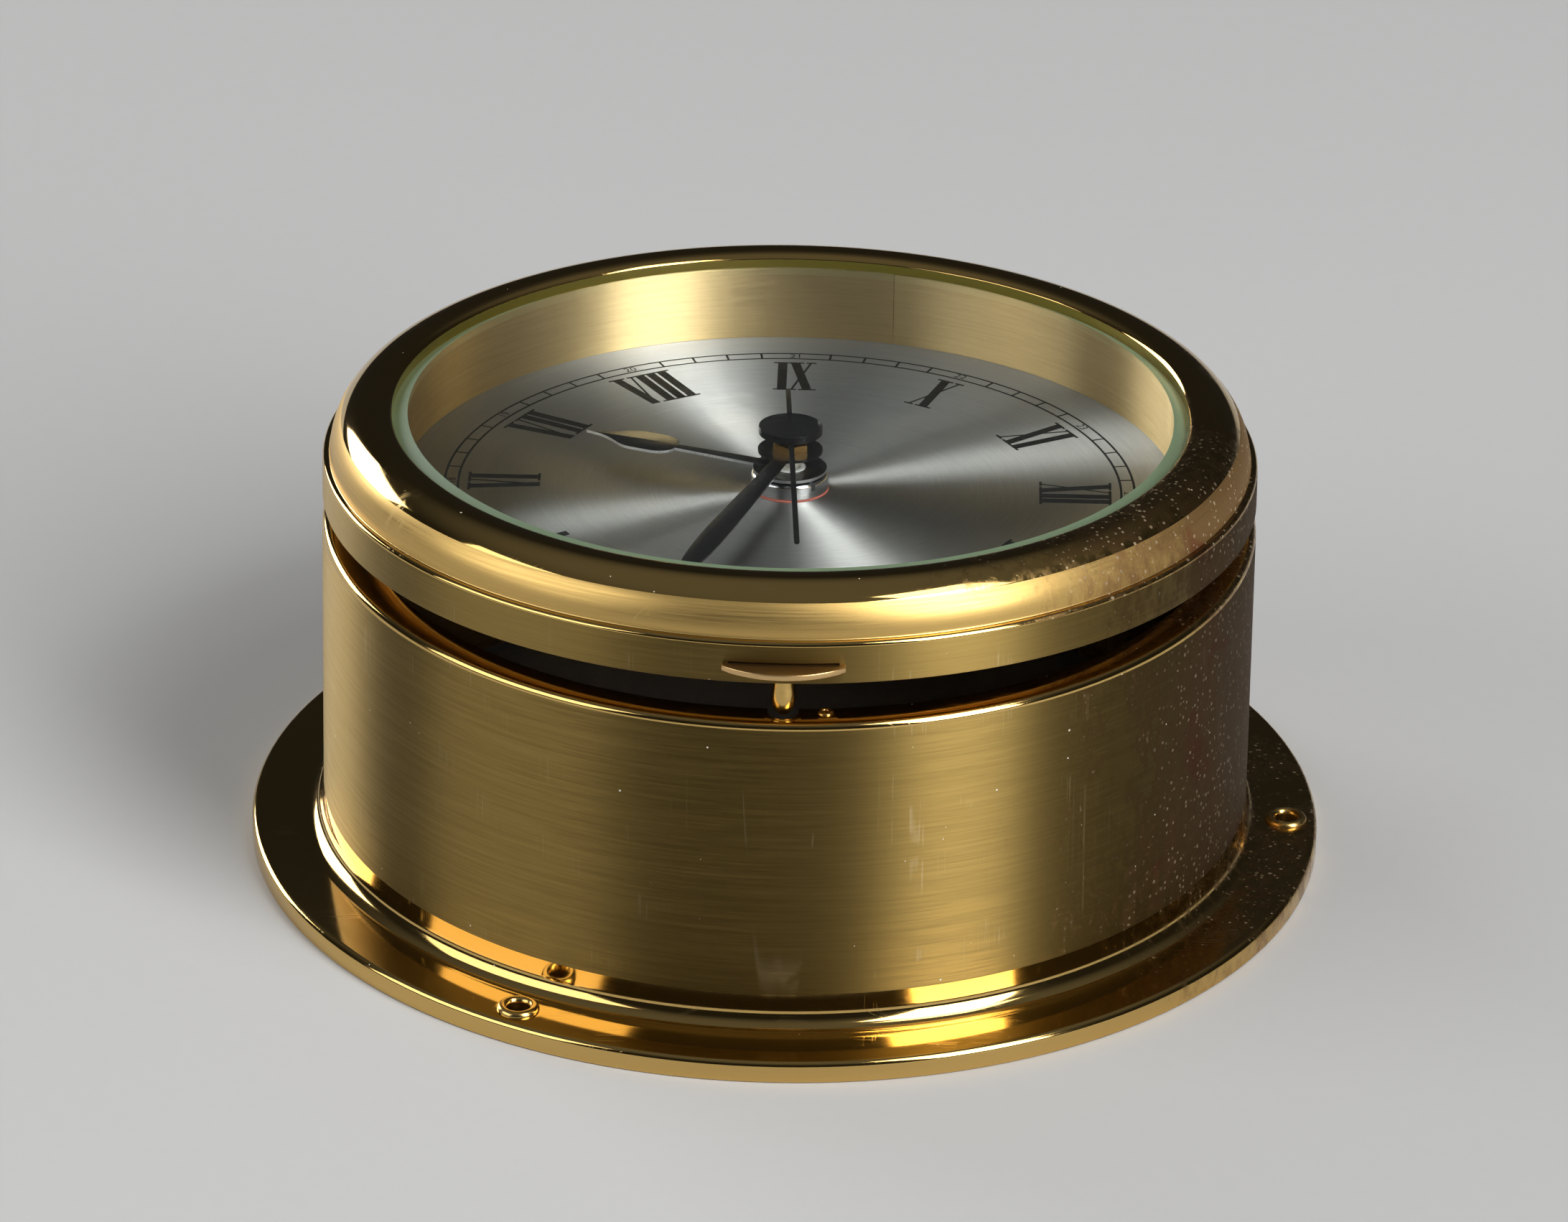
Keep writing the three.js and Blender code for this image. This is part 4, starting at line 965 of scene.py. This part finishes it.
class CLOCK_OT_glass(bpy.types.Operator):
    """Make the glass with its ground edge"""

    bl_idname = "clock.glass"
    bl_label = "Glass"

    def execute(self, context):
        lip, bevel = in_mm(sizes().lip_radius, sizes().glass_bevel)
        edge, chamfer, clear = 67.2, 0.3, lip - bevel
        profile = [
            (0, GLASS_BOTTOM), (edge - chamfer, GLASS_BOTTOM), (edge, GLASS_BOTTOM + chamfer),
            (edge, GLASS_SEAT), (lip, GLASS_SEAT), (clear, GLASS_TOP), (0, GLASS_TOP),
        ]
        glass = smooth(spun("glass_ground", profile), 8)

        def is_ground(face):
            return clear < out(face.center) < lip and face.center.z / MM > GLASS_SEAT

        second = (("ground_glass", is_ground),)
        finished(glass, "front", "glass", "clear_glass", "glass", second=second)
        return {"FINISHED"}


class CLOCK_OT_inner_ring(bpy.types.Operator):
    """Roll the brushed ring between dial and glass, with its seam"""

    bl_idname = "clock.inner_ring"
    bl_label = "Inner ring"

    def execute(self, context):
        inner, chamfer, seam_at = sizes().lip_radius / MM - 1.5, 0.12, 164.8
        outer = inner + 1
        profile = [
            (inner + chamfer, DIAL_TOP), (outer, DIAL_TOP), (outer, GLASS_BOTTOM),
            (inner + chamfer, GLASS_BOTTOM), (inner, GLASS_BOTTOM - chamfer),
            (inner, DIAL_TOP + chamfer),
        ]
        ring = spun("inner_ring_rolled", profile, 192)
        seam = bar("tool", (inner - 2, -0.06, DIAL_TOP - 1), (inner + 3, 0.06, GLASS_BOTTOM + 1))
        smooth(cut(ring, turned(seam, seam_at)))
        finished(ring, "front", "inner_brass", "inner_ring", "inner_ring")
        return {"FINISHED"}


class CLOCK_OT_carrier(bpy.types.Operator):
    """Press the carrier pan and drive its four screws"""

    bl_idname = "clock.carrier"
    bl_label = "Carrier pan"

    def execute(self, context):
        well, rim, shank, under = 66.9, 76.1, 0.9, PAN_FLANGE - 1
        profile = [
            (DIAL_BORE, PAN_BOTTOM), *arc(well, PAN_BOTTOM + 0.8, 0.8, 270, 360, 4),
            (well + 0.8, PAN_FLANGE), (rim - 0.1, PAN_FLANGE), (rim, PAN_FLANGE + 0.1),
            (rim, PAN_FLANGE_TOP), (well, PAN_FLANGE_TOP), (well, DIAL_BOTTOM),
            (DIAL_BORE, DIAL_BOTTOM),
        ]
        sink = [
            (0, under), (2.2, under), (2.2, PAN_FLANGE), (1.2, PAN_FLANGE_TOP),
            (1.2, PAN_FLANGE_TOP + 1), (0, PAN_FLANGE_TOP + 1),
        ]
        screw_profile = [
            (0, PAN_FLANGE), (1.75, PAN_FLANGE), (1.9, PAN_FLANGE + 0.08), (shank, PAN_FLANGE_TOP),
            (shank, PAN_FLANGE + 5), (0, PAN_FLANGE + 5),
        ]
        pan = spun("carrier_pan_pressed", profile)
        for tool in repeated(spun("tool", sink, 32), POST_PLACES):
            cut(pan, tool)
        drilled(pan, 1.5, under, PAN_FLANGE_TOP + 1, 32, STUD_CIRCLE)
        smooth(pan, 30)
        finished(pan, "front", "dull_brass", "pan_brass", "carrier_pan")
        slot = bar("tool", (-3, -0.25, under), (3, 0.25, PAN_FLANGE + 0.35))
        pattern = cut(spun("screw", screw_profile, 32), turned(slot, 20))
        for index, screw in enumerate(repeated(pattern, POST_PLACES), 1):
            screw.name = f"pan_screw_slotted_{index}"
            finished(screw, "front", "polished_brass", "front_fitting", f"pan_screw_{index}")
        return {"FINISHED"}


class CLOCK_OT_tab(bpy.types.Operator):
    """Cut the finger tab and push it through the skirt"""

    bl_idname = "clock.tab"
    bl_label = "Finger tab"

    def execute(self, context):
        edge, length = in_mm(sizes().bezel_radius, sizes().tab_length)
        half, tongue, reach, shoulder, steps = length / 2, 8.6, 4.1, 1.2, 16
        end_x = math.sqrt(edge**2 - half**2)
        points = [(end_x - 0.9, -half), (end_x + 1.0, -half)]
        for i in range(1, steps):
            t = i / steps
            bulge = 1 - abs(2 * t - 1) ** 2.1
            x = end_x + shoulder + (edge + reach - end_x - shoulder) * bulge
            points.append((x, -half + 2 * half * t))
        points += [(end_x + 1.0, half), (end_x - 0.9, half)]
        points += [(edge - 0.6, tongue), (edge - 2.2, tongue)]
        points += [(edge - 2.2, -tongue), (edge - 0.6, -tongue)]
        tab = bevelled(flat("finger_tab_cut", points, 61.8, 1.0), 0.16, 3, 50)
        finished(tab, "front", "dull_brass", "tab_brass", "finger_tab")
        return {"FINISHED"}


# The dial and its print


def band(low_middle, high_middle, low, high, half_width):
    """The corners of a band between two levels."""
    return [
        (low_middle - half_width, low), (low_middle + half_width, low),
        (high_middle + half_width, high), (high_middle - half_width, high),
    ]


# Each letter's strokes: the middle at the foot and at the head, and whether it is a thick one
STROKES = {
    "I": ((0.0, 0.0, True),),
    "V": ((0.25, -1.2, True), (0.25, 1.6, False)),
    "X": ((1.1, -1.1, True), (-1.65, 1.65, False)),
}
ADVANCE = {"I": 2.05, "V": 4.3, "X": 4.4}


def letter_shapes(letter, foot, head):
    """The outlines and thicknesses of one letter's strokes and of their joining serifs."""
    serif_height, serif_thickness = 0.45, 0.010
    for low, high, thick in STROKES[letter]:
        half_width, thickness, reach = (0.8, 0.016, 1.5) if thick else (0.2, 0.013, 0.85)
        yield band(low, high, foot, head, half_width), thickness
        yield band(high, high, head - serif_height, head, reach), serif_thickness
        if letter != "V":
            yield band(low, low, foot, foot + serif_height, reach), serif_thickness


class CLOCK_OT_dial(bpy.types.Operator):
    """Turn the dial plate"""

    bl_idname = "clock.dial"
    bl_label = "Dial plate"

    def execute(self, context):
        edge, chamfer = sizes().dial_radius / MM, 0.08
        profile = [
            (DIAL_BORE, DIAL_BOTTOM), (edge, DIAL_BOTTOM), (edge, DIAL_TOP - chamfer),
            (edge - chamfer, DIAL_TOP), (30.0, DIAL_TOP), (DIAL_BORE, DIAL_TOP),
        ]
        plate = spun("dial_plate_turned", profile)
        finished(plate, "front", "silvered_dial", "silvered_dial", "dial_plate")
        return {"FINISHED"}


class CLOCK_OT_print(bpy.types.Operator):
    """Print the numerals, the minute track and its small numbers on the dial"""

    bl_idname = "clock.print"
    bl_label = "Dial print"

    level = DIAL_TOP + 0.003

    def numerals(self, size):
        foot, head = in_mm(size.numeral_foot, size.numeral_head)
        names = "XII I II III IIII V VI VII VIII IX X XI".split()
        places = {letter: [] for letter in STROKES}
        for hour, text in enumerate(names):
            start = -sum(ADVANCE[letter] for letter in text) / 2
            for letter in text:
                middle = start + ADVANCE[letter] / 2
                start += ADVANCE[letter]
                places[letter].append(about(-30 * hour - PRINT_TURN) @ at(middle))
        pieces = []
        for letter in STROKES:
            shapes = letter_shapes(letter, foot, head)
            parts = [flat("stroke", outline, self.level, thick) for outline, thick in shapes]
            pieces += repeated(joined("letter", parts), places[letter])
        return joined("dial_numerals", pieces)

    def track(self, size):
        outer, width = in_mm(size.track_radius, size.track_width)
        inner, line, low = outer - width, 0.4, self.level
        high = low + 0.012
        pieces = []
        for radius in (outer - line, inner):
            profile = [(radius, low), (radius + line, low), (radius + line, high), (radius, high)]
            pieces.append(spun("circle", profile, 240))
        tick = bar("tick", (-line / 2, inner, low), (line / 2, outer, low + 0.01))
        places = [about(-6 * minute - PRINT_TURN) for minute in range(60) if minute % 5]
        return joined("dial_minute_track", pieces + repeated(tick, places))

    def small_numbers(self, size):
        middle = (size.track_radius - size.track_width / 2) / MM
        height, half_depth = 2.2, 0.006
        pieces = []
        for hour in range(1, 13):
            clear_selection()
            bpy.ops.object.text_add()
            words = bpy.context.object.data
            words.body = str(12 + hour)
            words.size = height * MM
            words.extrude = half_depth * MM
            words.align_x = "CENTER"
            words.align_y = "CENTER"
            bpy.ops.object.convert(target="MESH")
            number = shifted(bpy.context.object, 0, middle, self.level + half_depth)
            pieces.append(turned(number, -30 * hour - PRINT_TURN))
        return joined("dial_small_numbers", pieces)

    def execute(self, context):
        for make in (self.numerals, self.track, self.small_numbers):
            finished(make(sizes()), "front", "black_lacquer", "print")
        return {"FINISHED"}


# The hub and hands


class CLOCK_OT_hub(bpy.types.Operator):
    """Turn the washer, centre nut, tube and minute nut"""

    bl_idname = "clock.hub"
    bl_label = "Hub"

    bore = 4.05

    def washer(self):
        side = rounded_side(6.5, DIAL_TOP, WASHER_TOP, 0.06)
        profile = [(self.bore, DIAL_TOP), *side, (self.bore, WASHER_TOP)]
        return spun("fibre_washer_cut", profile, 64)

    def centre_nut(self):
        low, high, radius, corner = WASHER_TOP, DIAL_TOP + 3.0, 6.45, 0.75
        profile = [
            (self.bore, low), (radius - 0.15, low), (radius, low + 0.15), (radius, high - corner),
            *arc(radius - corner, high - corner, corner, 0, 90, 6)[1:],
            (4.4, high), (self.bore, high - 0.3),
        ]
        nut = spun("centre_nut_turned", profile, 96)
        for turn in (38, 128, 218, 308):
            slot = bar("tool", (4.9, -0.42, high - 1.35), (7.0, 0.42, high + 1))
            cut(nut, turned(slot, turn))
        return smooth(nut, 30)

    def minute_tube(self):
        inside = MOVEMENT_BACK
        bore, barrel, neck, top = 0.85, 1.5, 1.2, DIAL_TOP + 8.3
        low, high = DIAL_TOP + 4.4, DIAL_TOP + 6.6
        profile = [
            (bore, inside + 4.15), (2.6, inside + 4.15), (2.6, inside + 4.55),
            (barrel, inside + 4.55), (barrel, inside + 7.45), (1.85, inside + 7.45),
            (1.85, inside + 8.45), (barrel, inside + 8.45), (barrel, low), (2.0, low),
            (2.1, low + 0.1), (2.1, high - 0.1), (2.0, high), (neck, high), (neck, top),
            (bore, top),
        ]
        return spun("minute_tube_turned", profile, 48)

    def minute_nut(self):
        bottom, across_flats = DIAL_TOP + 7.0, 5.6
        corner = across_flats / math.sqrt(3)
        outline = [polar(corner, 60 * i) for i in range(6)]
        nut = flat("minute_nut_cut", outline, DIAL_TOP + 7.1, 1.4)
        chamfer = [
            (0, bottom), (3.4, bottom), (3.4, DIAL_TOP + 8.1), (2.6, DIAL_TOP + 8.5),
            (0, DIAL_TOP + 8.5),
        ]
        cut(nut, spun("tool", chamfer, 64), "INTERSECT")
        return smooth(drilled(nut, 1.25, DIAL_TOP + 6, DIAL_TOP + 10, 32), 25)

    def execute(self, context):
        finished(self.washer(), "front", "red_fibre", "fibre", "fibre_washer")
        finished(self.centre_nut(), "front", "chrome", "chrome", "centre_nut")
        finished(self.minute_tube(), "minutes", "chrome", "satin_nickel", "minute_tube")
        finished(self.minute_nut(), "minutes", "polished_brass", "dull_brass", "minute_nut")
        return {"FINISHED"}


class CLOCK_OT_hands(bpy.types.Operator):
    """Cut the hour, minute and second hands and set them to their hours"""

    bl_idname = "clock.hands"
    bl_label = "Hands"

    thickness = 0.5
    root = (3.0, 1.25)
    point = 0.05

    def hand(self, name, halves, low, disc, bore):
        """A hand cut from sheet: half its width along its length, its disc and its bore."""
        right = [(half, along) for along, half in halves]
        left = [(-half, along) for along, half in reversed(halves)]
        hand = flat(name, right + left, low, self.thickness)
        welded(hand, rod("disc", disc, low, low + self.thickness, 96))
        return bevelled(drilled(hand, bore, low - 1, low + 2, 48), 0.08, 2, 50)

    def hour(self, size):
        tip = size.hour_length / MM
        neck, full, swell, rise, widest = 0.8, 3.5, 24.3, 3.8, 26.3
        halves = [self.root]
        for i in range(11):
            a = math.pi / 2 * i / 10
            halves.append((swell - rise * math.cos(a), neck + (full - neck) * math.sin(a)))

        def fall(t):
            """How much of the width is left at a share of the way to the point."""
            return 1 / (1 + (t / 0.52) ** 3.5)

        for i in range(20):
            t = i / 20
            half = full * (fall(t) - fall(1)) / (1 - fall(1))
            halves.append((widest + (tip - widest) * t, half))
        halves.append((tip, self.point))
        return self.hand("hour_hand_cut", halves, DIAL_TOP + 3.3, 6.15, 2.7)

    def minute(self, size):
        tip = size.minute_length / MM
        full, start, widest = 2.125, 7.4, 35.0
        halves = [self.root]
        for i in range(12):
            t = i / 12
            half = full - (full - self.root[1]) * (1 - t) ** 1.2
            halves.append((start + (widest - start) * t, half))
        for i in range(16):
            t = i / 16
            halves.append((widest + (tip - widest) * t, full * (1 - t**3)))
        halves.append((tip, self.point))
        return self.hand("minute_hand_cut", halves, DIAL_TOP + 6.6, 5.4, 1.35)

    def second(self, size):
        reach, tail = in_mm(size.second_length, size.second_tail)
        low, radius, pin, half = DIAL_TOP + 9.9, 5.3, 1.25, 0.45
        high = low + 1.3
        profile = [
            (0, high - 0.35), (4.85, high - 0.35), (5.0, high - 0.25), (5.05, high - 0.05),
            (5.12, high), (5.22, high), (radius, high - 0.08), (radius, low + 0.08),
            (5.2, low), (pin, low), (pin, low - 0.7), (0.0, low - 0.7),
        ]
        pointer = [
            (-0.42, -tail), (0.42, -tail), (half, 5), (half, reach - 0.4), (0.2, reach),
            (-0.2, reach), (-half, reach - 0.4), (-half, 5),
        ]
        disc = spun("second_hand_turned", profile, 96)
        welded(disc, bevelled(flat("pointer", pointer, low, 0.4), 0.08, 2, 50))
        return smooth(disc, 30)

    def execute(self, context):
        edge = (("sheared_edge", lambda face: abs(face.normal.z) < 0.5),)
        for make, angle, body, node, second in (
            (self.hour, 202.1, "hours", "hour_hand", edge),
            (self.minute, 108.4, "minutes", "minute_hand", ()),
            (self.second, 88.0, "seconds", "second_hand", ()),
        ):
            hand = turned(make(sizes()), -angle)
            finished(hand, body, "black_lacquer", "lacquer", node, second=second)
        return {"FINISHED"}


# The movement


class CLOCK_OT_movement(bpy.types.Operator):
    """Dress the movement's housing, cover, battery and the parts inside"""

    bl_idname = "clock.movement"
    bl_label = "Movement"

    def dressed(self, node, ending, width, look, body="front"):
        """Replaces a CAD node by a copy with its doubles merged and its edges broken."""
        only(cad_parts[node])
        bpy.ops.object.duplicate(linked=False)
        copy = bpy.context.object
        copy.parent = None
        copy.name = node + ending
        for key in list(copy.keys()):
            del copy[key]
        mode("EDIT")
        select_mesh()
        bpy.ops.mesh.remove_doubles(threshold=1e-6)
        bpy.ops.mesh.dissolve_limited(angle_limit=math.radians(1))
        mode("OBJECT")
        bevelled(copy, width, 2, 50)
        finished(copy, body, look, look, node, placed=True)

    def execute(self, context):
        self.dressed("movement_housing", "_moulded", 0.25, "black_plastic")
        self.dressed("movement_cover", "_moulded", 0.2, "black_plastic")
        self.dressed("battery", "_cell", 0.2, "cell")
        for side in ("minus", "plus"):
            self.dressed("battery_contact_" + side, "_bent", 0.1, "spring_steel")
        for index in "123":
            self.dressed("cover_screw_" + index, "_driven", 0.15, "spring_steel")
        self.dressed("setting_knob", "_moulded", 0.2, "white_plastic", "setting")
        kept = {
            "board": ("circuit_board",),
            "copper_winding": ("coil",),
            "spring_steel": ("coil_core", "stator", "rotor"),
            "white_plastic": (
                "second_wheel", "intermediate_wheel", "third_wheel", "centre_wheel",
                "motion_wheel", "hour_wheel",
            ),
        }
        for look, nodes in kept.items():
            for node in nodes:
                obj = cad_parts[node]
                if obj.data.materials:
                    for slot in obj.material_slots:
                        slot.material = finish(look)
                else:
                    obj.data.materials.append(finish(look))
        return {"FINISHED"}


# The stage


class CLOCK_OT_stage(bpy.types.Operator):
    """Lay the pale floor, hang the soft lamps and set the camera"""

    bl_idname = "clock.stage"
    bl_label = "Stage"

    def floor(self):
        bpy.ops.mesh.primitive_plane_add(size=8.0, location=(0, 0, 0))
        floor = named("floor")
        mode("EDIT")
        bpy.ops.mesh.subdivide(number_cuts=3)
        mode("OBJECT")
        tree, shader, place = start_material("floor_paint")
        tone = finishes().floor
        grit = span(tree, noise(tree, place, 300.0, 3.0), 0.3, 0.7, 0.0, 0.2)
        base = blend(tree, grit, tone, dimmed(tone, 0.96))
        feed(tree, shader, Base_Color=base, Roughness=0.75)
        floor.data.materials.append(finish("floor_paint"))

    def world(self, context):
        """A room that is dim at the sides and lighter above."""
        world = bpy.data.worlds.new("studio")
        world.use_nodes = True
        context.scene.world = world
        tree = world.node_tree
        up = add(tree, "SeparateXYZ", add(tree, "TexCoord").outputs["Generated"]).outputs[2]
        level = span(tree, up, 0.45, 0.95, 0.02, 0.14)
        feed(tree, tree.nodes["Background"], Strength=level, Color=(0.95, 0.97, 1.0))

    def lamp(self, name, azimuth, elevation, width, height, power, away=2.4):
        clear_selection()
        a, e = math.radians(azimuth), math.radians(elevation)
        place = Vector((math.cos(a) * math.cos(e), math.sin(a) * math.cos(e), math.sin(e))) * away
        bpy.ops.object.light_add(type="AREA", location=place)
        light = bpy.context.object
        light.name = name
        light.data.shape = "RECTANGLE"
        light.data.size = width
        light.data.size_y = height
        light.data.energy = power
        light.rotation_euler = (-place).to_track_quat("-Z", "Y").to_euler()

    def camera(self, context):
        """The photograph's own view, from a long lens."""
        clear_selection()
        bpy.ops.object.camera_add(location=(1.53879, 0.00986, 0.80944))
        camera = bpy.context.object
        camera.name = "photo_camera"
        right = Vector((-0.013765, 0.999808, 0.013923))
        up = Vector((-0.446924, -0.018608, 0.894378))
        back = Vector((0.894466, 0.006089, 0.447095))
        camera.rotation_euler = Matrix((right, up, back)).transposed().to_euler()
        camera.data.lens = 236.149
        camera.data.sensor_width = 36.0
        camera.data.sensor_fit = "HORIZONTAL"
        camera.data.clip_start = 0.01
        context.scene.camera = camera

    def execute(self, context):
        clear_selection()
        self.floor()
        self.world(context)
        self.lamp("soft_right", 44, 34, width=1.06, height=1.92, power=56.0)
        self.lamp("soft_left", -68, 28, width=2.08, height=1.44, power=23.0)
        self.lamp("soft_behind", -135, 18, width=1.2, height=0.96, power=23.0)
        self.lamp("soft_high", 57, 57, width=0.8, height=0.8, power=9.0)
        self.camera(context)
        context.scene.view_settings.view_transform = "Standard"
        return {"FINISHED"}


class CLOCK_PT_panel(bpy.types.Panel):
    """Sizes, finishes and steps of the clock"""

    bl_label = "Ship's clock"
    bl_idname = "CLOCK_PT_panel"
    bl_space_type = "VIEW_3D"
    bl_region_type = "UI"
    bl_category = "Clock"

    def draw(self, context):
        layout = self.layout
        for values in (context.scene.clock_sizes, context.scene.clock_finishes):
            column = layout.column(align=True)
            for key in values.__class__.__annotations__:
                column.prop(values, key)
        for step in STEPS:
            layout.operator(step.bl_idname)


STEPS = (
    CLOCK_OT_stage, CLOCK_OT_case, CLOCK_OT_eyelets, CLOCK_OT_hinge, CLOCK_OT_catch,
    CLOCK_OT_bezel, CLOCK_OT_glass, CLOCK_OT_inner_ring, CLOCK_OT_carrier, CLOCK_OT_tab,
    CLOCK_OT_dial, CLOCK_OT_print, CLOCK_OT_hub, CLOCK_OT_hands, CLOCK_OT_movement,
)
CLASSES = (ClockSizes, ClockFinishes, *STEPS, CLOCK_PT_panel)


def register():
    for item in CLASSES:
        bpy.utils.register_class(item)
    bpy.types.Scene.clock_sizes = PointerProperty(type=ClockSizes)
    bpy.types.Scene.clock_finishes = PointerProperty(type=ClockFinishes)


def unregister():
    del bpy.types.Scene.clock_finishes
    del bpy.types.Scene.clock_sizes
    for item in reversed(CLASSES):
        bpy.utils.unregister_class(item)


def main():
    """Builds the whole clock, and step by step."""
    register()
    for step in STEPS:
        family, name = step.bl_idname.split(".")
        getattr(getattr(bpy.ops, family), name)()
    clear_selection()


if __name__ == "__main__":
    main()
